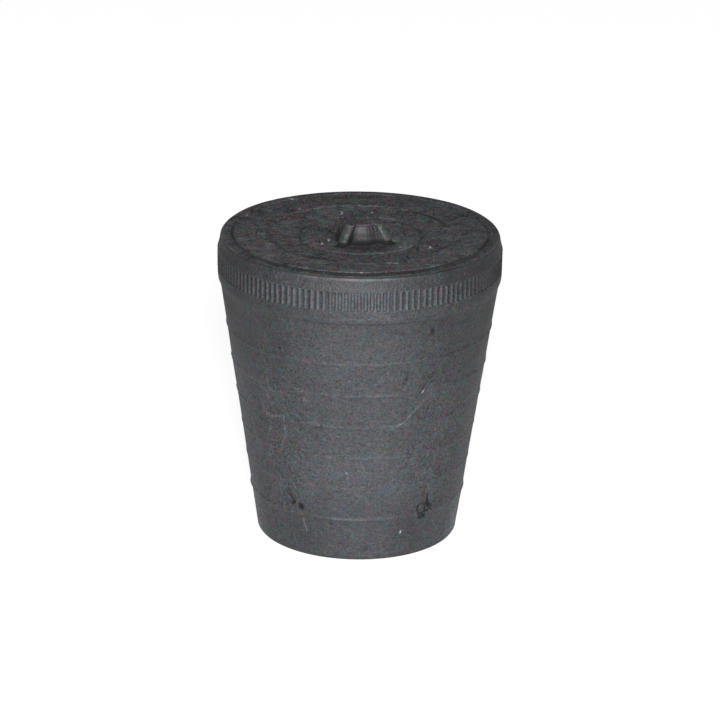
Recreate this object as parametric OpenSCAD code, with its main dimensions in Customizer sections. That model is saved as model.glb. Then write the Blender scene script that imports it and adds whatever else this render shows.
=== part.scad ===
// Tapered rubber stopper: one solid moulding, in millimetres.
// It stands on its narrow end with +Z up. The origin is the centre of the narrow
// end's face, and the front of the stopper faces -Y.

/* [Plug] */
// Diameter of the narrow end, which goes into the opening first
small_d = 36.9; // [24:0.1:39.5]
// Height from the narrow end to the rim
height = 57; // [44:0.5:90]
// Bevel round the edge of the narrow end
foot_bevel = 0.3; // [0.1:0.1:1]

/* [Ring lines on the taper] */
// Number of ring lines
ring_count = 6; // [2:1:7]
// Plain taper below the first ring line, and above the last
ring_margin = 8.5; // [4:0.1:10]
// Width of a ring line
ring_w = 0.9; // [0.4:0.1:1.2]
// How far a ring line stands out of the taper
ring_proud = 0.12; // [0.05:0.01:0.3]

/* [Collar] */
// Diameter of the collar
collar_d = 52; // [43:0.1:80]
// Height of the collar, from its lower lip to the rim
collar_h = 8.5; // [7:0.1:12]
// How far the collar's lower lip stands out of the taper
collar_step = 0.5; // [0.2:0.1:1.5]
// Height of the slope below the lip
lip_h = 1; // [0.3:0.1:1.2]
// How far the plain strip above the lip lies inside the collar's surface
strip_sink = 0.1; // [0.05:0.01:0.2]
// Height of the lip and the plain strip, up to the knurl
strip_h = 2.1; // [1.6:0.1:2.6]
// Height of the knurl
knurl_h = 3.4; // [1:0.1:3.5]
// Number of teeth in the knurl
knurl_count = 142; // [40:1:180]
// Depth of the knurl, from the collar's surface to the roots of its teeth
knurl_depth = 0.55; // [0.25:0.05:0.8]
// How far the tips of the teeth lie inside the collar's surface
knurl_inset = 0.05; // [0.02:0.01:0.15]
// Radius of the rim's rounded edge
rim_round = 0.7; // [0.1:0.1:0.8]

/* [Top] */
// Width of the flat rim, from the collar's surface to the groove inside it
rim_w = 2.7; // [1.5:0.1:3.5]
// Width of the groove inside the rim
rim_groove_w = 0.5; // [0.2:0.1:0.8]
// Depth of the groove inside the rim
rim_groove_depth = 0.3; // [0.1:0.1:1]
// How far the top falls from that groove to the recess
web_fall = 0.2; // [0.05:0.05:1]
// Diameter of the recess
recess_d = 34.4; // [27.6:0.1:34.6]
// Depth of the step at the edge of the recess
recess_step = 0.25; // [0.1:0.05:1]
// Diameter of the round pad in the middle of the recess
pad_d = 22.2; // [17:0.1:24.6]
// Width of the groove round the pad
pad_groove_w = 0.6; // [0.2:0.1:0.8]
// Depth of the groove round the pad
pad_groove_depth = 0.2; // [0.1:0.1:0.6]
// How far the recess falls from its edge to the pad
recess_fall = 0.15; // [0.05:0.05:0.5]

/* [Boss] */
// Diameter of the hub at its foot
hub_foot_d = 8.2; // [7.5:0.1:10]
// Diameter of the hub at its top
hub_top_d = 6.8; // [4:0.1:7.4]
// Height of the hub above the pad
hub_h = 3.2; // [1.5:0.1:6]
// Diameter of the dimple in the hub
dimple_d = 2; // [1:0.1:3]
// Depth of the dimple in the hub
dimple_depth = 0.35; // [0.1:0.05:1]
// Number of ribs round the hub
rib_count = 4; // [2:1:6]
// Thickness of a rib
rib_w = 1.6; // [0.8:0.1:2]
// Distance from the axis to the edge of a rib at the top of the hub
rib_top_r = 4.3; // [3.8:0.05:4.8]
// Distance from the axis to the edge of a rib at its foot
rib_foot_r = 6.8; // [5:0.1:8.1]
// Turn of the ribs about the axis, from the front
rib_turn = -32.5; // [-90:0.5:90]

/* [Hidden] */
rubber = [0.29, 0.30, 0.31];
collar_r = collar_d / 2;
collar_z = height - collar_h;
taper_top_r = collar_r - collar_step;
lip_back = 0.3;
knurl_z = collar_z + strip_h;
knurl_top_z = knurl_z + knurl_h;
knurl_tip_r = collar_r - knurl_inset;
knurl_root_r = collar_r - knurl_depth;
knurl_seat_depth = 1;
knurl_seat_r = knurl_root_r - knurl_seat_depth;
ring_pitch = (collar_z - 2 * ring_margin) / (ring_count - 1);
groove_r = collar_r - rim_w;
web_z = height - web_fall;
recess_z = web_z - recess_step;
pad_z = recess_z - recess_fall;
hub_z = pad_z + hub_h;
rib_lean = atan2(rib_foot_r - rib_top_r, hub_h);
$fn = 96;

// Radius of the plain taper at height z
function taper_r(z) = small_d / 2 + (taper_top_r - small_d / 2) * z / collar_z;

// A point at radius r and angle a
function polar(r, a) = [r * cos(a), r * sin(a)];

// One ring line, centred at height z
function ring_line(z) = [
    [taper_r(z - ring_w / 2), z - ring_w / 2],
    [taper_r(z) + ring_proud, z],
    [taper_r(z + ring_w / 2), z + ring_w / 2]
];

// A V groove of width w and depth d in a floor at height z, from outside to inside
function groove(r, z, w, d) = [[r + w / 2, z], [r, z - d], [r - w / 2, z]];

// Half outline of the taper, from the axis outwards and up to the collar
function taper_outline() = [
    [0, 0],
    [small_d / 2 - foot_bevel, 0],
    [taper_r(foot_bevel), foot_bevel],
    for (i = [0 : ring_count - 1]) each ring_line(ring_margin + i * ring_pitch),
    [taper_top_r, collar_z]
];

// Half outline of the collar, with a seat for the knurl and a rounded rim
function collar_outline() = [
    [collar_r, collar_z + lip_h],
    [collar_r - strip_sink, collar_z + lip_h + lip_back],
    [collar_r - strip_sink, knurl_z],
    [knurl_seat_r, knurl_z],
    [knurl_seat_r, knurl_top_z],
    [collar_r, knurl_top_z],
    for (a = [0 : 22.5 : 90]) [collar_r - rim_round, height - rim_round] + polar(rim_round, a)
];

// Half outline of the top, from the rim inwards to the axis
function top_outline() = concat(
    groove(groove_r, height, rim_groove_w, rim_groove_depth),
    [[recess_d / 2, web_z], [recess_d / 2 - recess_step, recess_z]],
    groove(pad_d / 2, pad_z, pad_groove_w, pad_groove_depth),
    [[hub_foot_d / 2, pad_z], [hub_top_d / 2, hub_z]],
    [[dimple_d / 2, hub_z], [0, hub_z - dimple_depth]]
);

module body() {
    rotate_extrude() polygon(concat(taper_outline(), collar_outline(), top_outline()));
}

// The band of teeth: each one's root, flanks and tip take up shares of its pitch
module knurl() {
    pitch = 360 / knurl_count;
    root_end = 0.14;
    tip_start = 0.46;
    tip_end = 0.68;
    teeth = [
        for (i = [0 : knurl_count - 1]) each [
            polar(knurl_root_r, i * pitch),
            polar(knurl_root_r, (i + root_end) * pitch),
            polar(knurl_tip_r, (i + tip_start) * pitch),
            polar(knurl_tip_r, (i + tip_end) * pitch)
        ]
    ];
    translate([0, 0, knurl_z]) linear_extrude(knurl_h) polygon(teeth);
}

// A buttress with a round outer edge, which leans in from the pad to the hub's top.
// It reaches into the hub, and sinks into the pad.
module rib() {
    sink = 0.3;
    reach = 3;
    length = 2 * (rib_foot_r + hub_h);
    intersection() {
        translate([0, -(rib_foot_r + rib_top_r) / 2, pad_z + hub_h / 2])
            rotate([-rib_lean, 0, 0])
            translate([0, rib_w / 2, -length / 2])
            linear_extrude(length) {
                circle(d = rib_w);
                translate([-rib_w / 2, 0]) square([rib_w, reach]);
            }
        translate([0, 0, pad_z - sink]) cylinder(r = rib_foot_r + rib_w, h = hub_h + sink);
    }
}

module stopper() {
    color(rubber) {
        body();
        knurl();
        for (i = [0 : rib_count - 1]) rotate(rib_turn + i * 360 / rib_count) rib();
    }
}

stopper();
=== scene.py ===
"""A tapered rubber stopper with ring lines, a knurled collar and a ribbed boss on its top.

The stopper stands on its narrow end with +Z up, and its front faces -Y. The classes
below work in millimetres, and the finished mesh is scaled to metres. An azimuth is an
angle in degrees about the axis: 0 is the front, and 90 is the +X side.
"""

import logging
import math
from dataclasses import dataclass
from enum import Enum

import bpy
import numpy as np
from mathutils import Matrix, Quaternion, Vector


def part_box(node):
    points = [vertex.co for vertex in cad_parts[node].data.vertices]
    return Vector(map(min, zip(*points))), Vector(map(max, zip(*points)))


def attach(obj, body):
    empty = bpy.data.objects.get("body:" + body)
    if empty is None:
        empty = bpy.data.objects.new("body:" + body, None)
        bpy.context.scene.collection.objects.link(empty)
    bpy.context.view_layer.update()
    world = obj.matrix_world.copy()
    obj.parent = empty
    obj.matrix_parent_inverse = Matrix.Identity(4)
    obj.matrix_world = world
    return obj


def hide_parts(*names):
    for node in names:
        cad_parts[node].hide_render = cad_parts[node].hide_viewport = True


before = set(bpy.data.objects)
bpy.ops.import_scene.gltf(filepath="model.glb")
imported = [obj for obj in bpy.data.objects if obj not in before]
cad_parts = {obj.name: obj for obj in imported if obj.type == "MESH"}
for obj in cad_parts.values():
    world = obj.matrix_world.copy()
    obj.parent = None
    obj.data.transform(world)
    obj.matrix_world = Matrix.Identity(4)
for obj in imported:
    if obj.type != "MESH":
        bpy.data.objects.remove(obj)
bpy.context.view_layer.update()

MM = 0.001
NODE = "stopper"
Array = np.ndarray
Pair = tuple[float, float]
Triple = tuple[float, float, float]
Colour = tuple[float, float, float, float]
Table = tuple[Pair, ...]
Socket = bpy.types.NodeSocket
Value = float | Socket
log = logging.getLogger(NODE)


class Zone(Enum):
    """The stretches of the skin, each of which is laid flat by itself."""

    FOOT = 0
    SIDE = 1
    TOP = 2
    HUB = 3
    CROWN = 4


def azimuths_of(points: Array) -> Array:
    """Azimuths in degrees, from -180 to 180, of points whose last axis is x, y, z."""
    return np.degrees(np.arctan2(points[..., 0], -points[..., 1]))


def around(radius: Array, azimuth: Array, height: Array) -> Array:
    """Points at some radii, azimuths in degrees and heights, which broadcast.

    Args:
        radius: Distances from the axis.
        azimuth: Azimuths in degrees.
        height: Heights.

    Returns:
        The points, with x, y, z as the last axis.
    """
    turn = np.radians(azimuth)
    parts = np.broadcast_arrays(radius * np.sin(turn), -radius * np.cos(turn), height)
    return np.stack(parts, axis=-1)


def ease(value: Array) -> Array:
    """A smooth step from 0 to 1 as value goes from 0 to 1."""
    part = np.clip(value, 0, 1)
    return part * part * (3 - 2 * part)


def rise(value: Array, start: float | Array, end: float | Array) -> Array:
    """A smooth step from 0 where value is at start to 1 where it is at end."""
    return ease((value - start) / (end - start))


def bead(off: Array, width: float) -> Array:
    """A round bead of some width: 1 at its middle, and 0 at its edges and beyond them."""
    return 0.5 + 0.5 * np.cos(np.pi * np.clip(off / (width / 2), -1, 1))


def hump(value: Array, at: float | Array, width: float) -> Array:
    """1 where value is at some number, and less the more widths it is away from it."""
    return np.exp(-(((value - at) / width) ** 2))


def read_off(table: Table, value: Array) -> Array:
    """The number beside each value in a table of values and numbers, or between two of them."""
    return np.interp(value, *zip(*table))


def apart(azimuth: Array, middle: float) -> Array:
    """Degrees from each azimuth to a middle one, the short way round, below 0 on its left."""
    return (azimuth - middle + 180) % 360 - 180


def revolve(stations: list[Pair], azimuth: Array) -> Array:
    """Loops of points at some stations of an outline.

    Args:
        stations: Radius and height of each loop.
        azimuth: Azimuth of each point of a loop.

    Returns:
        The loops, as an array of loops by points by x, y, z.
    """
    radius, height = np.array(stations, float).T
    return around(radius[:, None], azimuth[None, :], height[:, None])


@dataclass(frozen=True)
class Lumps:
    """Smooth unevenness of one size, the same on each run."""

    seed: int
    size: float
    cells: int = 40

    def at(self, points: Array) -> Array:
        """The unevenness at some points.

        Args:
            points: Points in millimetres, with x, y, z as the last axis.

        Returns:
            A value from -1 to 1 for each point.
        """
        table = np.random.default_rng(self.seed).uniform(-1, 1, (self.cells,) * 3)
        cell = np.floor(points / self.size).astype(int)
        part = ease(points / self.size - cell)
        total = np.zeros(points.shape[:-1])
        for corner in np.ndindex(2, 2, 2):
            share = np.prod(np.where(corner, part, 1 - part), axis=-1)
            index = np.moveaxis((cell + corner) % self.cells, -1, 0)
            total += share * table[tuple(index)]
        return total


@dataclass(frozen=True)
class Pit:
    """A hole or a short tear in the side of the taper, between two places."""

    start: Pair
    end: Pair
    width: float
    depth: float

    def share(self, points: Array, uneven: Array) -> Array:
        """How deep each point lies in the pit, from 0 outside it to 1 at its bottom.

        Args:
            points: Points in millimetres. The pit's places are azimuths and heights.
            uneven: How much each point's distance from the pit is stretched, about 1.

        Returns:
            A number for each point.
        """
        radius = np.hypot(points[..., 0], points[..., 1])
        middle = (self.start[0] + self.end[0]) / 2
        across = np.radians(apart(azimuths_of(points), middle)) * radius
        half = np.radians(self.end[0] - self.start[0]) / 2 * radius
        climb = (self.end[1] - self.start[1]) / 2
        up = points[..., 2] - (self.start[1] + self.end[1]) / 2
        square = np.maximum(half**2 + climb**2, 1e-9)
        along = np.clip((across * half + up * climb) / square, -1, 1)
        reach = np.hypot(across - along * half, up - along * climb) / (self.width / 2)
        return ease(1.7 - 1.4 * reach * uneven)


class Skin:
    """A closed skin, grown loop by loop from the middle of the foot to the dimple."""

    def __init__(self, start: Triple) -> None:
        """Starts from a single point, which the first loop is fanned to.

        Args:
            start: The point's x, y and z.
        """
        self.points = [np.array([start])]
        self.runs = [np.zeros(1)]
        self.nooks = [np.zeros(1)]
        self.faces: list[tuple[int, ...]] = []
        self.zones: list[int] = []
        self.count = 1
        self.edge = np.array([0])

    def grow(self, loops: Array, zone: Zone, nook: float | Array = 0.0) -> None:
        """Adds loops, each joined to the one before it.

        Args:
            loops: An array of loops by points by x, y, z.
            zone: The stretch that the new faces belong to.
            nook: How much painted shade each point of a loop has, below 0 where it has a painted highlight.
        """
        for loop in loops:
            before = self.points[-1]
            self.points.append(loop)
            self.nooks.append(np.zeros(len(loop)) + nook)
            step = np.array([np.hypot(loop[:, 0], loop[:, 1]).mean(), loop[:, 2].mean()])
            step -= [np.hypot(before[:, 0], before[:, 1]).mean(), before[:, 2].mean()]
            self.runs.append(np.full(len(loop), self.runs[-1][0] + np.hypot(*step)))
            new = np.arange(self.count, self.count + len(loop))
            self.count += len(loop)
            same = len(new) == len(self.edge)
            made = self.band(self.edge, new) if same else self.zipper(before, new, loop)
            self.faces.extend(made)
            self.zones.extend([zone.value] * len(made))
            self.edge = new

    def band(self, lower: Array, upper: Array) -> list[tuple[int, ...]]:
        """Quads between two loops with as many points."""
        corners = np.stack([lower, np.roll(lower, -1), np.roll(upper, -1), upper], axis=1)
        return [tuple(row) for row in corners.tolist()]

    def zipper(self, before: Array, new: Array, loop: Array) -> list[tuple[int, ...]]:
        """Triangles from the edge to a new loop that has more or fewer points.

        Args:
            before: The edge's points.
            new: The indices of the new loop's points.
            loop: The new loop's points.

        Returns:
            The triangles, in order of azimuth.
        """
        old = self.edge
        if len(old) == 1:
            return [(int(old[0]), int(b), int(a)) for a, b in zip(new, np.roll(new, -1))]
        turn_old = np.unwrap(azimuths_of(before), period=360)
        turn_new = np.unwrap(azimuths_of(loop), period=360)
        gap = apart(turn_new, turn_old[0])
        first = int(np.argmin(np.abs(gap)))
        new = np.roll(new, -first)
        turn_new = np.unwrap(np.roll(turn_new, -first), period=360)
        turn_new += turn_old[0] + gap[first] - turn_new[0]
        turn_old = np.append(turn_old, turn_old[0] + 360)
        turn_new = np.append(turn_new, turn_new[0] + 360)
        made = []
        i, j = 0, 0
        while i < len(old) or j < len(new):
            a, b = int(old[i % len(old)]), int(new[j % len(new)])
            if j == len(new) or (i < len(old) and turn_old[i + 1] <= turn_new[j + 1]):
                i += 1
                made.append((a, int(old[i % len(old)]), b))
            else:
                j += 1
                made.append((a, int(new[j % len(new)]), b))
        return made

    def close(self, middle: Triple, zone: Zone) -> None:
        """Fans the last loop to a single point.

        Args:
            middle: The point's x, y and z.
            zone: The stretch that the new faces belong to.
        """
        self.points.append(np.array([middle]))
        self.runs.append(self.runs[-1][:1])
        self.nooks.append(np.zeros(1))
        made = [(int(a), int(b), self.count) for a, b in zip(self.edge, np.roll(self.edge, -1))]
        self.faces.extend(made)
        self.zones.extend([zone.value] * len(made))
        self.count += 1


@dataclass(frozen=True)
class Plug:
    """The foot and the taper above it, up to the collar."""

    foot_r: float = 18.45
    foot_round: float = 0.45
    top_r: float = 25.5
    top_z: float = 48.5
    taper_end: float = 47.5
    ring_w: float = 0.95
    ring_proud: float = 0.12
    ring_first: float = 8.5
    ring_pitch: float = 6.3
    ring_strengths: tuple[float, ...] = (1.5, 0.65, 0.7, 0.95, 1.1, 1.0)
    # How strong the painted highlight on the front of each ring line is.
    ring_shines: tuple[float, ...] = (0.5, 0.15, 0.05, 0.35, 0.55, 0.6)
    # Painted shade just above each ring line, on its left and on its right.
    ring_shades: Table = (
        (0.07, 0.24), (0.03, 0.14), (0.09, 0.04), (0.09, 0.16), (0.09, 0.08), (0.05, 0.0),
    )
    row_step: float = 0.5
    least_step: float = 0.11
    pitted: Triple = (6.7, 12.4, 0.17)
    inside_r: float = 17.5
    inside_lean: float = 0.12

    def ring_heights(self) -> list[float]:
        """The height of each ring line."""
        return [self.ring_first + i * self.ring_pitch for i in range(len(self.ring_strengths))]

    def just_inside(self, height: Array) -> Array:
        """A radius a little inside the side of the stopper at each height."""
        return self.inside_r + self.inside_lean * height

    def rows(self) -> Array:
        """Heights of the taper's loops: closer together at the ring lines and the pits.

        Returns:
            The heights, from low to high, none of them closer together than least_step.
        """
        plain = np.arange(self.foot_round, self.taper_end, self.row_step)
        rings = [z + self.ring_w * np.linspace(-0.65, 0.65, 9) for z in self.ring_heights()]
        heights = np.sort(np.concatenate([plain, np.arange(*self.pitted), *rings]))
        kept = [heights[0]]
        for height in heights[1:]:
            if height - kept[-1] > self.least_step:
                kept.append(height)
        return np.array(kept)

    def taper(self, azimuth: Array) -> Array:
        """The loops of the taper, with its raised ring lines.

        Args:
            azimuth: Azimuth of each column, in degrees.

        Returns:
            The loops, as an array of loops by points by x, y, z.
        """
        height = self.rows()[:, None]
        radius = self.foot_r + (self.top_r - self.foot_r) * height / self.top_z
        points = around(radius, azimuth[None, :], height)
        unit = points * [1, 1, 0]
        for i, (z, strength) in enumerate(zip(self.ring_heights(), self.ring_strengths)):
            wander = 0.12 * Lumps(seed=40 + i, size=9).at(unit)
            fade = 1 + 0.55 * Lumps(seed=50 + i, size=6).at(unit)
            fade += 0.3 * Lumps(seed=60 + i, size=1.3).at(unit)
            proud = self.ring_proud * strength * bead(height - z - wander, self.ring_w) * fade
            points += (unit / radius[..., None]) * proud[..., None]
        return points

    def grow(self, skin: Skin, azimuth: Array) -> None:
        """Adds the flat foot, its rounded edge and the taper to the skin.

        Args:
            skin: The skin that grows.
            azimuth: Azimuth of each column, in degrees.
        """
        inner = self.foot_r - self.foot_round
        flat = [(inner * share, 0.0) for share in (0.1, 0.4, 0.7, 0.94, 1.0)]
        skin.grow(revolve(flat, azimuth), Zone.FOOT)
        turns = [math.radians(a) for a in (20, 40, 60, 80)]
        edge = [
            (inner + self.foot_round * math.sin(a), self.foot_round * (1 - math.cos(a)))
            for a in turns
        ]
        skin.grow(revolve(edge, azimuth), Zone.SIDE)
        skin.grow(self.taper(azimuth), Zone.SIDE)


@dataclass(frozen=True)
class Collar:
    """The plain strip, the knurl and the smooth band up to the rim."""

    radius: float
    strip_profile: Table = (
        (47.4, 25.34), (48.0, 25.52), (48.8, 25.8), (49.6, 25.92), (51.0, 25.93),
    )
    crease_z: float = 47.87
    crease_w: float = 0.5
    crease_depth: float = 0.12
    lip_z: float = 48.8
    lip_w: float = 1.3
    lip_proud: float = 0.1
    lip_turn: float = 27.0
    lip_least: float = 0.12
    knurl_z: float = 50.55
    knurl_h: float = 3.5
    teeth: int = 142
    tooth_points: int = 8
    tooth_depth: float = 0.55
    tooth_sharp: float = 1.3
    tip_inset: float = 0.02
    round_end: float = 0.3
    rim_z: float = 57.0
    crown_h: float = 1.2
    crown_w: float = 0.55
    band_lean: float = 0.46

    def knurl_top(self) -> float:
        """The height where the knurl ends and the smooth band starts."""
        return self.knurl_z + self.knurl_h

    def strip_r(self, height: Array) -> Array:
        """Radius of the plain strip, which flares out from the taper."""
        return read_off(self.strip_profile, height)

    def strip(self, azimuth: Array) -> Array:
        """The loops from the taper to the knurl, with a crease and a lip that fade to the sides.

        Args:
            azimuth: Azimuth of each column, in degrees.

        Returns:
            The loops, as an array of loops by points by x, y, z.
        """
        close = np.arange(47.6, 48.4, 0.12)
        height = np.concatenate([close, np.arange(48.45, 50.0, 0.2), [50.15, 50.35]])[:, None]
        clear = self.lip_least + (1 - self.lip_least) * np.exp(-((azimuth / self.lip_turn) ** 4))[None, :]
        crease = bead(height - self.crease_z, self.crease_w)
        lip = bead(height - self.lip_z, self.lip_w)
        radius = self.strip_r(height) + clear * (self.lip_proud * lip - self.crease_depth * crease)
        return around(radius, azimuth[None, :], height)

    def knurl(self) -> Array:
        """The loops of the knurl: round ridges and valleys, which end in small round ends.

        Returns:
            The loops, as an array of loops by points by x, y, z.
        """
        count = self.teeth * self.tooth_points
        azimuth = np.arange(count) * 360 / count - 180
        ridge = (1 - self.valley(azimuth)) ** self.tooth_sharp
        uneven = Lumps(seed=71, size=0.9).at(around(self.radius, azimuth, self.knurl_z))
        ends = np.array([0, 0.08, 0.2, 0.4, 1.1])
        rows = np.concatenate([ends, [self.knurl_h / 2], self.knurl_h - ends[::-1]])[:, None]
        near_end = np.clip(np.minimum(rows, self.knurl_h - rows) / self.round_end, 0, 1)
        full = np.sin(np.pi / 2 * near_end)
        share = rows / self.knurl_h
        seat = self.strip_r(self.knurl_z) * (1 - share) + (self.radius - 0.07) * share
        tip = self.radius - self.tip_inset - 0.02 + 0.02 * uneven[None, :]
        root = tip - self.tooth_depth
        high = seat + (tip - seat) * full
        low = seat + (root - seat) * full
        return around(low + (high - low) * ridge[None, :], azimuth[None, :], self.knurl_z + rows)

    def valley(self, azimuth: Array) -> Array:
        """How deep in a valley of the knurl each azimuth lies, from 0 on a ridge to 1."""
        return 0.5 + 0.5 * np.cos(np.radians((azimuth + 180) * self.teeth))

    def band(self) -> list[Pair]:
        """The outline of the smooth band, with a faint bead at its foot, and of its round rim.

        Returns:
            Radius and height of each station.
        """
        foot = self.knurl_top()
        crown_z = self.rim_z - self.crown_h
        edge = self.radius - self.band_lean
        straight = [
            (self.radius - 0.05, foot + 0.08),
            (self.radius - 0.04, foot + 0.2),
            (self.radius - 0.09, foot + 0.4),
            (self.radius - 0.18, foot + 0.7),
            (self.radius - 0.3, foot + 1.1),
            (edge, crown_z),
        ]
        crown = [
            (edge - self.crown_w * (1 - math.cos(a)), crown_z + self.crown_h * math.sin(a))
            for a in np.radians([14, 24, 34, 44, 54, 64, 76, 90])
        ]
        return straight + crown

    def grow(self, skin: Skin, azimuth: Array) -> None:
        """Adds the collar to the skin, from the crease below its lip to the rim.

        Args:
            skin: The skin that grows.
            azimuth: Azimuth of each column, in degrees.
        """
        skin.grow(self.strip(azimuth), Zone.SIDE)
        skin.grow(self.knurl(), Zone.SIDE)
        skin.grow(revolve(self.band(), azimuth), Zone.SIDE)


@dataclass(frozen=True)
class Face:
    """The round top, from the rim inwards to the groove round the pad."""

    rim_r: float = 24.99
    rim_z: float = 57.0
    groove_r: float = 23.3
    groove_w: float = 0.55
    groove_depth: float = 0.32
    web_z: float = 56.8
    recess_r: float = 17.2
    recess_z: float = 56.55
    pad_r: float = 11.1
    pad_z: float = 56.4
    pad_groove_w: float = 0.7
    pad_groove_depth: float = 0.24
    row_step: float = 0.6
    edge_drop: Pair = (0.45, 0.25)
    edge_in: float = 0.6
    flat_end: float = 57.2

    def share(self, radius: Array, height: Array) -> Array:
        """1 on the round top and its boss, and 0 on the side.

        Args:
            radius: Each point's distance from the axis.
            height: Each point's height.

        Returns:
            A number from 0 to 1 for each point, which changes smoothly over the rim's edge.
        """
        edge = rise(height, self.rim_z - self.edge_drop[0], self.rim_z - self.edge_drop[1])
        return np.where(radius < self.rim_r - self.edge_in, height > self.pad_z - self.edge_in, edge)

    def slope(self, start: Pair, end: Pair) -> list[Pair]:
        """A stretch from start to end, without its two ends, in rows about a row_step apart.

        Args:
            start: Radius and height where it starts.
            end: Radius and height where it ends.

        Returns:
            Radius and height of each station.
        """
        count = max(2, round((start[0] - end[0]) / self.row_step))
        shares = np.linspace(0, 1, count + 1)[1:-1]
        return [tuple(np.array(start) + (np.array(end) - start) * share) for share in shares]

    def groove(self, radius: float, height: float, width: float, depth: float) -> list[Pair]:
        """A groove with soft shoulders, from outside to inside."""
        down = {0.62: 0.0, 0.5: 0.06, 0.3: 0.55, 0.0: 1.0, -0.3: 0.55, -0.5: 0.06, -0.62: 0.0}
        return [(radius + across * width, height - share * depth) for across, share in down.items()]

    def outline(self) -> list[Pair]:
        """The outline from the rim to the pad's groove, from outside to inside.

        Returns:
            Radius and height of each station.
        """
        rim_groove = self.groove(self.groove_r, self.rim_z, self.groove_w, self.groove_depth)
        pad_groove = self.groove(self.pad_r, self.pad_z, self.pad_groove_w, self.pad_groove_depth)
        step_top = (self.recess_r + 0.12, self.web_z)
        step = [
            step_top,
            (self.recess_r, self.web_z - 0.03),
            (self.recess_r - 0.1, self.web_z - 0.12),
            (self.recess_r - 0.18, self.recess_z + 0.04),
            (self.recess_r - 0.3, self.recess_z),
        ]
        return [
            *self.slope((self.rim_r, self.rim_z), rim_groove[0]),
            *rim_groove,
            *self.slope(rim_groove[-1], step_top),
            *step,
            *self.slope(step[-1], pad_groove[0]),
            *pad_groove[:4],
        ]

    def grow(self, skin: Skin, azimuth: Array) -> None:
        """Adds the top to the skin, up to the bottom of the pad's groove."""
        skin.grow(revolve(self.outline(), azimuth), Zone.TOP)


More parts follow.
